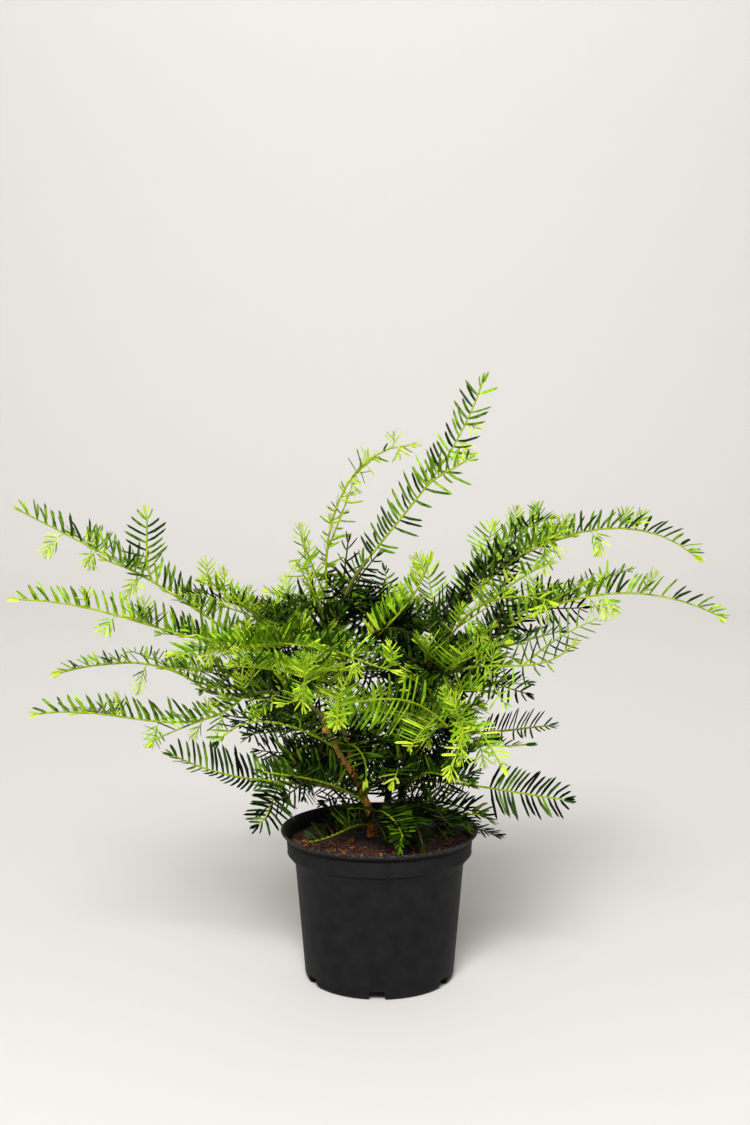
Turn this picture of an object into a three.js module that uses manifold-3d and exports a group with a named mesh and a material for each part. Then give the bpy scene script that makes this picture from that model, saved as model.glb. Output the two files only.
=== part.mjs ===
// Potted creeping yew: a young spreading evergreen in a round nursery pot, in millimetres, +Z up.
// The origin is the centre of the pot's flat underside, and the front of the plant faces -Y.
// Headings are degrees in the level plane: 0 is +X to the right, 90 is +Y to the back, 180 the left.
import * as THREE from "three";
import { mergeVertices } from "three/addons/utils/BufferGeometryUtils.js";
import Module from "manifold-3d";

const { clamp, degToRad, lerp, mapLinear } = THREE.MathUtils;
const wasm = await Module();
wasm.setup();

// Pot: outside sizes of the moulded wall
const POT_HEIGHT = 145;
const LIP_RADIUS = 95;
const LIP_HEIGHT = 8;
const LIP_EDGE = 1;
const BAND_RADIUS = 89.5;
const BAND_TAPER = 1.2;
const BAND_FOOT = 120;
const BODY_RADIUS = 81;
const BODY_TOP = 112;
const BASE_RADIUS = 71.6;
const BASE_ROUND = 5;
const ROUND_MIDDLE = 0.3;
const POT_WALL = 2;
const SKIRT_WIDTH = 6;
const FLOOR_RISE = 9;
const FOOT_DISC_RADIUS = 34;
const POT_SIDES = 36;
const NOTCHES = 6;
const NOTCH_WIDTH = 17;
const NOTCH_TOP_WIDTH = 14;
const NOTCH_HEIGHT = 8.7;
const NOTCH_HEADING = 268;

// Soil and the gaps that neighbouring solids keep
const SOIL_TOP = 133;
const GAP = 0.3;

// Stems and boughs
const STEM_SIDES = 8;
const BOUGH_SIDES = 6;
const STEM_STEP = 26;
const RING_CROWDING = 1.5;
const ROOT_FLARE = 0.9;
const FLARE_HEIGHT = 7;
const LINE_HANDLE = 0.37;
const STEEP = 0.86;
const UPRIGHT = [0, 90];

// Shoots: radii at foot and tip, the pitch and reach of their sprays of needles, their share of the lift.
// Each spray is one broad tooth that stands for three or four needles.
const SHOOT = { radii: [2.1, 1.3], pitch: 13.2, reach: 28, liftShare: 1 };
const FORK = { radii: [1.5, 1.0], pitch: 13.2, reach: 25, liftShare: 0.6 };
const TWIG = { radii: [1.5, 1.0], pitch: 12, reach: 20.5, liftShare: 0.6 };
const BARE_FOOT = 7;
const BARE_TIP = 7;
const SPRAY_SWEEP = [62, 40];
const SPRAY_END = 0.72;
const SPRAY_SWELL = 0.38;
const SPRAY_SKEW = 0.8;
const LAST_SPRAY = { from: 0.9, reach: 0.8 };

// Side twigs: the stretch of the shoot they leave from, the middle of each one's place in it, their angle
// from the shoot, how it closes towards their tip, their length, its spread, how it falls along the shoot,
// how far they climb and how far their tips droop
const TWIG_SPAN = [0.1, 0.82];
const TWIG_PLACE = [0.2, 0.8];
const TWIG_ANGLE = [40, 62];
const TWIG_CLOSING = 0.65;
const TWIG_LENGTH = 88;
const TWIG_SPREAD = [0.7, 1.2];
const TWIG_FALL = [1.05, 0.45];
const TWIG_CLIMB = [-0.25, 0.35];
const TWIG_DROOP = 0.15;
const TWIG_BEND = 0.6;

// Room kept between neighbouring masses
const BAR_STEP = 12;
const SPRAY_ROOM = [4.3, 0.3];
const CLEARANCE = 0.6;
const POT_CLEARANCE = 2;

const PLASTIC = finish(0x262626, 0.55);
const EARTH = finish(0x4a2c1c, 1.0);
const BARK = finish(0x8a5428, 0.85);
const GREEN_BARK = finish(0x6c6a34, 0.8);
const TONES = {
  dark: finish(0x24481a, 0.6),
  middle: finish(0x4f8a1e, 0.55),
  fresh: finish(0x8fc02a, 0.5),
};

// The stems rise from the soil; the middle one forks off the front one.
const STEMS = [
  { name: "stem_front", foot: [-7, 12], tip: [-55, -22, 262], arrive: [220, 72], radii: [3.9, 1.9] },
  { name: "stem_middle", on: "stem_front", at: 0.42, leave: [165, 76], tip: [-36, -8, 309],
    arrive: [10, 80], radii: [2.6, 1.9] },
  { name: "stem_leader", foot: [-15, 40], tip: [-41, 25, 341], arrive: [215, 80], radii: [4.3, 2.4] },
  { name: "stem_right", foot: [20, 22], tip: [64, 5, 327], arrive: [335, 70], radii: [4.3, 2.4] },
  { name: "stem_back", foot: [8, 54], tip: [22, 112, 296], arrive: [80, 74], radii: [3.9, 2.3] },
];

const BOUGHS = [
  { name: "bough_leader", on: "stem_leader", at: 1, leave: [20, 78], tip: [-11, 20, 403],
    arrive: [0, 52] },
  { name: "bough_left_top", on: "stem_leader", at: 0.74, leave: [180, 15], tip: [-126, 30, 315],
    arrive: [178, 38] },
  { name: "bough_left_upper", on: "stem_middle", at: 1, leave: [195, 50], tip: [-76, -20, 328],
    arrive: [195, -8] },
  { name: "bough_left_arm", on: "stem_front", at: 0.97, leave: [200, 50], tip: [-127, -30, 279],
    arrive: [190, -20] },
  { name: "bough_left_back", on: "stem_leader", at: 0.6, leave: [170, 35], tip: [-170, 45, 270],
    arrive: [172, 15] },
  { name: "bough_left_low", on: "stem_front", at: 0.3, leave: [185, 20], tip: [-85, -10, 192],
    arrive: [190, 5] },
  { name: "bough_right_top", on: "stem_right", at: 1, leave: [350, 72], tip: [87, 15, 366],
    arrive: [10, 48] },
  { name: "bough_right_mid", on: "stem_right", at: 0.9, leave: [335, 15], tip: [113, -20, 338],
    arrive: [350, 35] },
  { name: "bough_right_front", on: "stem_right", at: 0.76, leave: [290, 30], tip: [77, -45, 308],
    arrive: [325, 18] },
  { name: "bough_right_back", on: "stem_back", at: 0.5, leave: [350, 15], tip: [100, 75, 222],
    arrive: [345, 3] },
  { name: "bough_back_left", on: "stem_back", at: 0.6, leave: [125, 30], tip: [-60, 150, 275],
    arrive: [140, 15] },
  { name: "bough_back_mid", on: "stem_back", at: 1, leave: [80, 72], tip: [30, 150, 318],
    arrive: [80, 12] },
  { name: "bough_back_right", on: "stem_back", at: 0.82, leave: [40, 35], tip: [90, 150, 300],
    arrive: [30, 20] },
  { name: "bough_front_mid", on: "stem_middle", at: 0.82, leave: [245, 50], tip: [-65, -60, 333],
    arrive: [295, 15] },
  { name: "bough_front_right", on: "stem_right", at: 0.5, leave: [280, 35], tip: [62, -62, 258],
    arrive: [300, 8] },
];
const BOUGH_RADII = [2.4, 1.9];

// Each mass of foliage is one long shoot with its side twigs. lift is how far its two ranks of sprays rise
// from level, roll turns the ranks about the shoot, fan spreads each rank in two, and a fork is a second
// long shoot of the same mass.
const MASSES = [
  { name: "foliage_left_top", on: "bough_left_top", tip: [-348, 50, 446], arrive: [178, 27], lift: 50,
    twigs: 3, tone: "middle", seed: 11,
    fork: { at: 0.44, leave: [150, 60], tip: [-226, 45, 444], arrive: [200, 85] } },
  { name: "foliage_left_upper", on: "bough_left_upper", tip: [-325, -75, 377], arrive: [190, 2],
    lift: 55, twigs: 4, tone: "middle", seed: 76 },
  { name: "foliage_left_middle", on: "bough_left_back", leave: [172, 40], tip: [-316, 60, 285],
    arrive: [176, -16], lift: 40, twigs: 2, tone: "middle", seed: 13 },
  { name: "foliage_left_lower", on: "bough_left_arm", leave: [190, -45], tip: [-313, -60, 269],
    arrive: [190, -8], lift: 45, twigs: 2, tone: "middle", seed: 78 },
  { name: "foliage_left_low", on: "bough_left_low", tip: [-194, -30, 223], arrive: [190, 28], lift: 30,
    roll: -40, twigs: 1, tone: "dark", seed: 15,
    fork: { at: 0.05, leave: [200, -35], tip: [-114, -36, 158], arrive: [195, -35] } },
  { name: "foliage_left_back", on: "stem_leader", at: 0.42, leave: [150, 30], tip: [-149, 60, 242],
    arrive: [185, 12], lift: 50, twigs: 2, tone: "dark", seed: 16 },
  { name: "foliage_left_inner", on: "stem_leader", at: 0.8, leave: [190, 30], tip: [-165, -15, 385],
    arrive: [180, 32], lift: 40, twigs: 5, tone: "fresh", seed: 17 },
  { name: "foliage_leader", on: "bough_leader", tip: [97, 15, 571], arrive: [0, 72], lift: 10, roll: 90,
    fan: 32, twigs: 0, tone: "middle", seed: 21,
    fork: { at: 0.42, leave: [330, 50], tip: [85, 0, 501], arrive: [350, 38] } },
  { name: "foliage_upright_thin", on: "stem_leader", at: 0.9, leave: [200, 65], tip: [28, -8, 513],
    arrive: [352, 2], lift: 10, roll: 80, fan: 30, twigs: 3, tone: "fresh", seed: 22 },
  { name: "foliage_upright_left", on: "stem_leader", at: 0.86, leave: [140, 50], tip: [-73, 45, 414],
    arrive: [110, 80], lift: 20, roll: 90, fan: 30, twigs: 1, tone: "fresh", seed: 26 },
  { name: "foliage_upright_right", on: "stem_middle", at: 0.93, leave: [335, 45], tip: [46, -30, 406],
    arrive: [355, 72], lift: 55, twigs: 1, tone: "fresh", seed: 24 },
  { name: "foliage_upright_back", on: "stem_back", at: 0.94, leave: [110, 45], tip: [-60, 85, 381],
    arrive: [180, -5], lift: -40, twigs: 3, tone: "dark", seed: 25 },
  { name: "foliage_right_top", on: "bough_right_top", tip: [306, 40, 404], arrive: [5, -40], lift: 45,
    twigs: 4, tone: "middle", seed: 31 },
  { name: "foliage_right_crest", on: "stem_right", at: 0.84, leave: [62, 62], tip: [168, 50, 418],
    arrive: [0, -62], lift: 35, twigs: 4, tone: "middle", seed: 32 },
  { name: "foliage_right_upper", on: "bough_right_mid", tip: [310, -50, 359], arrive: [350, -26],
    lift: 48, twigs: 4, tone: "middle", seed: 33 },
  { name: "foliage_right_bright", on: "stem_right", at: 0.94, leave: [290, 45], tip: [148, -120, 382],
    arrive: [320, -8], lift: 40, twigs: 2, tone: "fresh", seed: 34 },
  { name: "foliage_right_thin", on: "bough_right_front", tip: [171, -95, 338], arrive: [335, 48],
    lift: 15, roll: 50, twigs: 2, tone: "middle", seed: 85 },
  { name: "foliage_right_small", on: "stem_right", at: 0.7, leave: [5, 8], tip: [122, 15, 288],
    arrive: [0, 20], lift: 20, twigs: 2, tone: "dark", seed: 36 },
  { name: "foliage_right_back", on: "bough_right_back", tip: [167, 45, 235], arrive: [340, 8], lift: 15,
    roll: 35, twigs: 0, tone: "dark", seed: 37 },
  { name: "foliage_right_side", on: "stem_right", at: 0.42, leave: [345, 25], tip: [139, -15, 230],
    arrive: [0, 8], lift: 12, twigs: 3, tone: "dark", seed: 38 },
  { name: "foliage_right_low", on: "stem_right", at: 0.26, leave: [320, 12], tip: [175, -25, 179],
    arrive: [352, -6], lift: 12, roll: 70, twigs: 1, tone: "dark", seed: 42 },
  { name: "foliage_right_foot", on: "stem_right", at: 0.14, leave: [325, 25], tip: [95, -30, 166],
    arrive: [345, 5], lift: 20, roll: 40, twigs: 2, tone: "dark", seed: 40 },
  { name: "foliage_right_far", on: "stem_back", at: 0.72, leave: [0, 40], tip: [184, 110, 319],
    arrive: [5, 15], lift: 25, twigs: 4, tone: "dark", seed: 41 },
  { name: "foliage_front_mid", on: "bough_front_mid", leave: [310, 5], tip: [10, -130, 322],
    arrive: [340, -12], lift: 55, twigs: 1, tone: "fresh", seed: 51 },
  { name: "foliage_front_low", on: "stem_middle", at: 0.5, leave: [262, 35], tip: [-36, -205, 290],
    arrive: [268, -18], lift: 30, twigs: 2, tone: "fresh", seed: 52 },
  { name: "foliage_front_right", on: "bough_front_right", leave: [215, 42], tip: [-29, -140, 295],
    arrive: [190, -8], lift: -8, roll: 80, twigs: 0, tone: "middle", seed: 53 },
  { name: "foliage_front_cluster", on: "stem_right", at: 0.52, leave: [300, 45], tip: [60, -150, 240],
    arrive: [215, -50], lift: 30, twigs: 0, tone: "fresh", seed: 54,
    fork: { at: 0.62, leave: [315, -5], tip: [106, -145, 240], arrive: [320, -50] } },
  { name: "foliage_front_foot", on: "stem_front", at: 0.16, leave: [285, 30], tip: [21, -78, 158],
    arrive: [275, -12], lift: 18, twigs: 3, tone: "dark", seed: 55 },
  { name: "foliage_over_soil", on: "stem_front", at: 0.07, leave: [230, 25], tip: [-66, -42, 143],
    arrive: [190, -5], lift: 55, twigs: 0, tone: "middle", seed: 56 },
  { name: "foliage_front_left", on: "stem_middle", at: 0.74, leave: [240, 35], tip: [-66, -190, 319],
    arrive: [265, 0], lift: 30, twigs: 2, tone: "fresh", seed: 57 },
  { name: "foliage_front_star", on: "stem_front", at: 0.72, leave: [235, 30], tip: [-145, -100, 252],
    arrive: [230, -35], lift: 15, twigs: 1, tone: "dark", seed: 58 },
  { name: "foliage_front_low_left", on: "stem_front", at: 0.22, leave: [215, 40], tip: [-108, -60, 215],
    arrive: [195, 12], lift: 50, twigs: 2, tone: "dark", seed: 59 },
  { name: "foliage_front_low_right", on: "stem_right", at: 0.19, leave: [300, 45], tip: [81, -100, 213],
    arrive: [320, -8], lift: 50, twigs: 2, tone: "dark", seed: 60 },
  { name: "foliage_back_left", on: "bough_back_left", tip: [-190, 215, 292], arrive: [145, 0], lift: 35,
    twigs: 4, tone: "middle", seed: 61 },
  { name: "foliage_back_mid", on: "bough_back_mid", tip: [15, 265, 332], arrive: [95, -5], lift: 35,
    twigs: 4, tone: "middle", seed: 62 },
  { name: "foliage_back_right", on: "bough_back_right", tip: [215, 205, 335], arrive: [35, -15],
    lift: 35, twigs: 4, tone: "middle", seed: 63 },
  { name: "foliage_back_low", on: "stem_back", at: 0.3, leave: [95, 25], tip: [-25, 205, 205],
    arrive: [105, -5], lift: 20, twigs: 3, tone: "dark", seed: 64 },
  { name: "foliage_back_upper", on: "stem_leader", at: 0.96, leave: [105, 25], tip: [-115, 165, 352],
    arrive: [135, 12], lift: 35, twigs: 4, tone: "middle", seed: 74 },
];

function finish(colour, roughness) {
  return new THREE.MeshStandardMaterial({ color: colour, roughness, metalness: 0 });
}

function solidOf(geometry) {
  const bare = geometry.clone();
  bare.deleteAttribute("normal");
  bare.deleteAttribute("uv");
  const merged = mergeVertices(bare, 1e-4);
  return new wasm.Manifold(new wasm.Mesh({
    numProp: 3,
    vertProperties: merged.attributes.position.array,
    triVerts: new Uint32Array(merged.index.array),
  }));
}

function geometryOf(solid) {
  const made = solid.getMesh();
  const geometry = new THREE.BufferGeometry();
  geometry.setAttribute("position", new THREE.BufferAttribute(made.vertProperties, 3));
  geometry.setIndex(new THREE.BufferAttribute(made.triVerts, 1));
  return geometry;
}

function named(name, geometry, material) {
  const mesh = new THREE.Mesh(geometry, material);
  mesh.name = name;
  return mesh;
}

// Profiles are turned about +Z, so each point is [radius, height], from the axis round to the axis.
function turned(profile, sides) {
  const points = profile.map(([radius, height]) => new THREE.Vector2(radius, height));
  const geometry = new THREE.LatheGeometry(points, sides);
  geometry.rotateX(Math.PI / 2);
  return geometry;
}

// Radius of the pot's outer wall under the band, at a height
function bodyRadius(height) {
  return mapLinear(height, 0, BODY_TOP, BASE_RADIUS, BODY_RADIUS);
}

function potSolid() {
  const innerFloor = FLOOR_RISE + POT_WALL;
  const skirt = BASE_RADIUS - SKIRT_WIDTH;
  const bandFoot = BAND_RADIUS - BAND_TAPER;
  const profile = [
    [0, 0],
    [FOOT_DISC_RADIUS, 0],
    [FOOT_DISC_RADIUS + FLOOR_RISE, FLOOR_RISE],
    [skirt, FLOOR_RISE],
    [skirt, 0],
    [BASE_RADIUS - BASE_ROUND, 0],
    [BASE_RADIUS - BASE_ROUND * ROUND_MIDDLE, BASE_ROUND * ROUND_MIDDLE],
    [bodyRadius(BASE_ROUND), BASE_ROUND],
    [BODY_RADIUS, BODY_TOP],
    [(BODY_RADIUS + bandFoot) / 2, (BODY_TOP + BAND_FOOT) / 2],
    [bandFoot, BAND_FOOT],
    [BAND_RADIUS, POT_HEIGHT - LIP_HEIGHT],
    [LIP_RADIUS, POT_HEIGHT - LIP_EDGE],
    [LIP_RADIUS - LIP_EDGE, POT_HEIGHT],
    [LIP_RADIUS - POT_WALL, POT_HEIGHT],
    [BAND_RADIUS - POT_WALL, POT_HEIGHT - LIP_HEIGHT],
    [bandFoot - POT_WALL, BAND_FOOT],
    [BODY_RADIUS - POT_WALL, BODY_TOP],
    [bodyRadius(innerFloor) - POT_WALL, innerFloor],
    [FOOT_DISC_RADIUS + FLOOR_RISE, innerFloor],
    [FOOT_DISC_RADIUS, POT_WALL],
    [0, POT_WALL],
  ];
  let pot = solidOf(turned(profile, POT_SIDES));
  const side = new THREE.Shape();
  side.moveTo(-NOTCH_WIDTH / 2, -1);
  side.lineTo(NOTCH_WIDTH / 2, -1);
  side.lineTo(NOTCH_TOP_WIDTH / 2, NOTCH_HEIGHT);
  side.lineTo(-NOTCH_TOP_WIDTH / 2, NOTCH_HEIGHT);
  for (let notch = 0; notch < NOTCHES; notch += 1) {
    const cutter = new THREE.ExtrudeGeometry(side, { depth: SKIRT_WIDTH * 3, bevelEnabled: false });
    cutter.translate(0, 0, skirt - SKIRT_WIDTH / 2);
    cutter.applyMatrix4(new THREE.Matrix4().makeBasis(
      new THREE.Vector3(0, 1, 0), new THREE.Vector3(0, 0, 1), new THREE.Vector3(1, 0, 0)));
    cutter.rotateZ(degToRad(NOTCH_HEADING + notch * 360 / NOTCHES));
    pot = pot.subtract(solidOf(cutter));
  }
  return pot;
}

// The root ball fills the pot and ends level under the stems.
function soilGeometry() {
  const inset = POT_WALL + GAP;
  const bottom = FLOOR_RISE + POT_WALL + GAP;
  const shoulder = BAND_RADIUS - BAND_TAPER - inset;
  return turned([
    [0, POT_WALL + GAP],
    [FOOT_DISC_RADIUS - 1, POT_WALL + GAP],
    [FOOT_DISC_RADIUS + FLOOR_RISE - 1, bottom],
    [bodyRadius(bottom) - inset, bottom],
    [BODY_RADIUS - inset, BODY_TOP],
    [shoulder, BAND_FOOT + 1],
    [shoulder, SOIL_TOP],
    [0, SOIL_TOP],
  ], POT_SIDES);
}

// A repeatable stream of numbers from 0 to 1
function dealer(seed) {
  let state = seed;
  return () => {
    state = (state * 1664525 + 1013904223) % 4294967296;
    return state / 4294967296;
  };
}

function direction([heading, rise]) {
  const turn = degToRad(heading);
  const climb = degToRad(rise);
  return new THREE.Vector3(
    Math.cos(climb) * Math.cos(turn), Math.cos(climb) * Math.sin(turn), Math.sin(climb));
}

function growLine(foot, leave, tip, arrive) {
  const handle = foot.distanceTo(tip) * LINE_HANDLE;
  return new THREE.CubicBezierCurve3(
    foot, foot.clone().addScaledVector(leave, handle), tip.clone().addScaledVector(arrive, -handle), tip);
}

// Place, direction, side and upper side of a line at a share of its length
function frameAt(line, share, roll) {
  const place = line.getPointAt(share);
  const along = line.getTangentAt(share);
  const chord = line.v3.clone().sub(line.v0);
  const steep = Math.abs(chord.z) > STEEP * chord.length();
  const level = steep ? new THREE.Vector3(0, -1, 0) : new THREE.Vector3(0, 0, 1);
  const side = along.clone().cross(level).normalize();
  const turn = degToRad(roll);
  side.applyAxisAngle(along, turn);
  return { place, along, side, up: side.clone().cross(along) };
}

// A round tapering limb: a cylinder bent along its line. One that stands on the soil flares to a level cut.
function limbSolid(limb, extra) {
  const steps = Math.max(3, Math.round(limb.line.getLength() / STEM_STEP));
  const tube = new THREE.CylinderGeometry(1, 1, 1, limb.sides, steps);
  const position = tube.getAttribute("position");
  const corner = new THREE.Vector3();
  for (let index = 0; index < position.count; index += 1) {
    corner.fromBufferAttribute(position, index);
    const share = Math.pow(corner.y + 0.5, limb.onSoil ? RING_CROWDING : 1);
    const { place, along, side, up } = frameAt(limb.line, share, 0);
    const flare = limb.onSoil ? ROOT_FLARE * Math.exp(-(place.z - limb.line.v0.z) / FLARE_HEIGHT) : 0;
    const taper = lerp(...limb.radii, share);
    const radius = taper * (1 + flare) + extra;
    const spot = place.addScaledVector(side, corner.x * radius).addScaledVector(up, corner.z * radius);
    spot.addScaledVector(along, share === 1 ? extra : 0);
    position.setXYZ(index, spot.x, spot.y, spot.z);
  }
  return solidOf(tube);
}

const limbs = new Map();

function growLimb(row, sides, radii) {
  const parent = limbs.get(row.on);
  const foot = parent ? parent.line.getPointAt(row.at) : new THREE.Vector3(...row.foot, SOIL_TOP + GAP);
  const leave = direction(row.leave ?? UPRIGHT);
  const line = growLine(foot, leave, new THREE.Vector3(...row.tip), direction(row.arrive));
  limbs.set(row.name, { name: row.name, line, sides, radii, parent, onSoil: !parent });
}

// Takes a side limb or shoot clear of the limb that it grows from.
function clearOfParent(solid, parent) {
  return parent ? solid.subtract(limbSolid(parent, GAP)) : solid;
}

// Sprays are shorter at both ends of a shoot than on its middle.
function sprayShare(share) {
  const swell = SPRAY_END + SPRAY_SWELL * Math.sin(Math.PI * Math.pow(share, SPRAY_SKEW));
  return share > LAST_SPRAY.from ? swell * LAST_SPRAY.reach : swell;
}

// A unit direction between two that are square to each other
function between(first, second, degrees) {
  const angle = degToRad(degrees);
  return first.clone().multiplyScalar(Math.cos(angle)).addScaledVector(second, Math.sin(angle));
}

// A shoot's stations carry a left and a right spray each, swept forward and lifted by the row's angles.
function planShoot(line, style, row, bare) {
  const length = line.getLength();
  const roll = row.roll ?? 0;
  const fan = row.fan ?? 0;
  const pairs = Math.max(1, Math.floor((length - bare - BARE_TIP) / style.pitch));
  const step = (length - bare - BARE_TIP) / pairs;
  const sprays = [];
  for (let station = 0; station < pairs; station += 1) {
    const share = (bare + step * (station + 0.5)) / length;
    const frame = frameAt(line, share, roll);
    const radius = lerp(...style.radii, share);
    const sweep = lerp(...SPRAY_SWEEP, share * share);
    const lift = row.lift * style.liftShare + (station % 2 ? fan : -fan);
    for (const hand of [1, -1]) {
      const out = between(frame.side.clone().multiplyScalar(hand), frame.up, lift);
      const root = frame.place.clone().addScaledVector(out, radius / 2);
      const aim = between(frame.along, out, sweep);
      const tip = root.clone().addScaledVector(aim, style.reach * sprayShare(share));
      sprays.push({ station, hand, root, tip });
    }
  }
  return { line, radii: style.radii, length, bare, step, pairs, sprays, roll };
}

// Side twigs leave alternate sides of the shoot by a seeded rule and get shorter towards its tip.
function planTwigs(main, row) {
  const draw = dealer(row.seed);
  const twigs = [];
  for (let index = 0; index < row.twigs; index += 1) {
    const place = (index + lerp(...TWIG_PLACE, draw())) / row.twigs;
    const share = lerp(...TWIG_SPAN, place);
    const hand = (index + row.seed) % 2 ? 1 : -1;
    const angle = lerp(...TWIG_ANGLE, draw());
    const length = TWIG_LENGTH * lerp(...TWIG_FALL, share) * lerp(...TWIG_SPREAD, draw());
    const climb = lerp(...TWIG_CLIMB, draw());
    const frame = frameAt(main.line, share, main.roll);
    const out = frame.side.clone().multiplyScalar(hand).addScaledVector(frame.up, climb).normalize();
    const leave = between(frame.along, out, angle);
    const arrive = between(frame.along, out, angle * TWIG_CLOSING);
    arrive.z -= TWIG_DROOP;
    arrive.normalize();
    const elbow = frame.place.clone().addScaledVector(leave, length * TWIG_BEND);
    const tip = elbow.addScaledVector(arrive, length * (1 - TWIG_BEND));
    twigs.push(growLine(frame.place, leave, tip, arrive));
  }
  return twigs;
}

// One closed skin: a three-sided stem whose two upper faces rise into the sprays that are kept.
function shootSolid(shoot) {
  const rings = [0];
  for (let station = 0; station <= shoot.pairs; station += 1) {
    rings.push(shoot.bare + shoot.step * station);
  }
  const corners = [];
  for (const reach of rings) {
    const share = reach / shoot.length;
    const frame = frameAt(shoot.line, share, shoot.roll);
    const radius = lerp(...shoot.radii, share);
    for (const turn of [-30, 90, 210]) {
      corners.push(frame.place.clone().addScaledVector(between(frame.side, frame.up, turn), radius));
    }
  }
  const faces = [[0, 1, 2]];
  const sides = [[0, 1, 1], [1, 2, -1], [2, 0, 0]];
  for (let ring = 0; ring + 1 < rings.length; ring += 1) {
    for (const [from, to, hand] of sides) {
      const quad = [ring * 3 + from, ring * 3 + 3 + from, ring * 3 + 3 + to, ring * 3 + to];
      const spray = shoot.sprays.find(
        (each) => each.station === ring - 1 && each.hand === hand && each.kept);
      if (spray) {
        corners.push(spray.tip);
        const point = corners.length - 1;
        quad.forEach((corner, side) => faces.push([corner, quad[(side + 1) % 4], point]));
      } else {
        faces.push([quad[0], quad[1], quad[2]], [quad[0], quad[2], quad[3]]);
      }
    }
  }
  const last = (rings.length - 1) * 3;
  corners.push(shoot.line.v3.clone());
  sides.forEach(([from, to]) => faces.push([last + from, corners.length - 1, last + to]));
  return new wasm.Manifold(new wasm.Mesh({
    numProp: 3,
    vertProperties: new Float32Array(corners.flatMap((corner) => corner.toArray())),
    triVerts: new Uint32Array(faces.flat()),
  }));
}

// Bars are straight tapered stretches of limbs and sprays. Two nearer than their sizes allow would touch.
const bars = [];

function barsAlong(line, radii, owner) {
  const steps = Math.ceil(line.getLength() / BAR_STEP);
  const made = [];
  for (let step = 0; step < steps; step += 1) {
    made.push({
      owner,
      ends: [line.getPointAt(step / steps), line.getPointAt((step + 1) / steps)],
      radii: [0, 1].map((end) => lerp(...radii, (step + end) / steps)),
    });
  }
  return made;
}

// The closest points of two bars, and what is left between them once their sizes are taken off
function barGap(one, other) {
  const [p, q] = [one.ends[0], other.ends[0]];
  const u = one.ends[1].clone().sub(p);
  const v = other.ends[1].clone().sub(q);
  const w = p.clone().sub(q);
  const [a, b, c, d, e] = [u.dot(u), u.dot(v), v.dot(v), u.dot(w), v.dot(w)];
  const spread = a * c - b * b;
  let s = spread > 1e-9 ? clamp((b * e - c * d) / spread, 0, 1) : 0;
  const t = clamp((b * s + e) / c, 0, 1);
  s = clamp((b * t - d) / a, 0, 1);
  const apart = w.addScaledVector(u, s).addScaledVector(v, -t).length();
  return apart - lerp(...one.radii, s) - lerp(...other.radii, t);
}

function touchesPot(point) {
  const radius = Math.hypot(point.x, point.y);
  if (radius < BAND_RADIUS - POT_WALL - 2 * POT_CLEARANCE) {
    return point.z < SOIL_TOP + POT_CLEARANCE;
  }
  return radius < LIP_RADIUS + POT_CLEARANCE && point.z < POT_HEIGHT + POT_CLEARANCE;
}

function isFree(bar, ignored) {
  const middle = bar.ends[0].clone().lerp(bar.ends[1], 0.5);
  if (touchesPot(bar.ends[1]) || touchesPot(middle)) {
    return false;
  }
  return bars.every((other) => ignored.includes(other.owner) || barGap(bar, other) > CLEARANCE);
}

for (const row of STEMS) {
  growLimb(row, STEM_SIDES, row.radii);
}
for (const row of BOUGHS) {
  growLimb(row, BOUGH_SIDES, BOUGH_RADII);
}
for (const limb of limbs.values()) {
  bars.push(...barsAlong(limb.line, limb.radii, limb.name));
}

// Each mass starts from its bough's tip, or from a share of its stem's length.
function plantMass(row) {
  const parent = limbs.get(row.on);
  const foot = parent.line.getPointAt(row.at ?? 1);
  const leave = row.leave ? direction(row.leave) : parent.line.getTangentAt(1);
  const line = growLine(foot, leave, new THREE.Vector3(...row.tip), direction(row.arrive));
  const main = planShoot(line, SHOOT, row, BARE_FOOT + (row.at ? parent.radii[0] : 0));
  const mass = { row, parent, shoots: [main] };
  if (row.fork) {
    const { at, leave: forkLeave, tip, arrive } = row.fork;
    const forkLine = growLine(
      line.getPointAt(at), direction(forkLeave), new THREE.Vector3(...tip), direction(arrive));
    mass.shoots.push(planShoot(forkLine, FORK, row, BARE_FOOT));
  }
  for (const shoot of mass.shoots) {
    shoot.owner = `${row.name} ${mass.shoots.indexOf(shoot)}`;
    bars.push(...barsAlong(shoot.line, shoot.radii, shoot.owner));
  }
  return mass;
}

// Twigs that find room between all the main shoots
function addTwigs(mass) {
  const main = mass.shoots[0];
  for (const line of planTwigs(main, mass.row)) {
    const owner = `${mass.row.name} ${mass.shoots.length}`;
    const made = barsAlong(line, TWIG.radii, owner);
    const ignored = [main.owner];
    if (made.every((bar, index) => isFree(bar, index ? ignored : ignored.concat(mass.row.on)))) {
      mass.shoots.push({ ...planShoot(line, TWIG, mass.row, BARE_FOOT), owner });
      bars.push(...made);
    }
  }
}

// Sprays that find room between all the shoots and twigs
function keepSprays(mass) {
  for (const shoot of mass.shoots) {
    for (const spray of shoot.sprays) {
      const owner = `${shoot.owner} ${spray.station}`;
      const bar = { owner, ends: [spray.root, spray.tip], radii: SPRAY_ROOM };
      spray.kept = isFree(bar, [shoot.owner, owner]);
      if (spray.kept) {
        bars.push(bar);
      }
    }
  }
}

function massSolid(mass) {
  const [first, ...others] = mass.shoots.map(shootSolid);
  const joined = others.reduce((whole, shoot) => whole.add(shoot), first);
  return clearOfParent(joined, mass.parent);
}

const masses = MASSES.map(plantMass);
masses.forEach(addTwigs);
masses.forEach(keepSprays);

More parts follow.
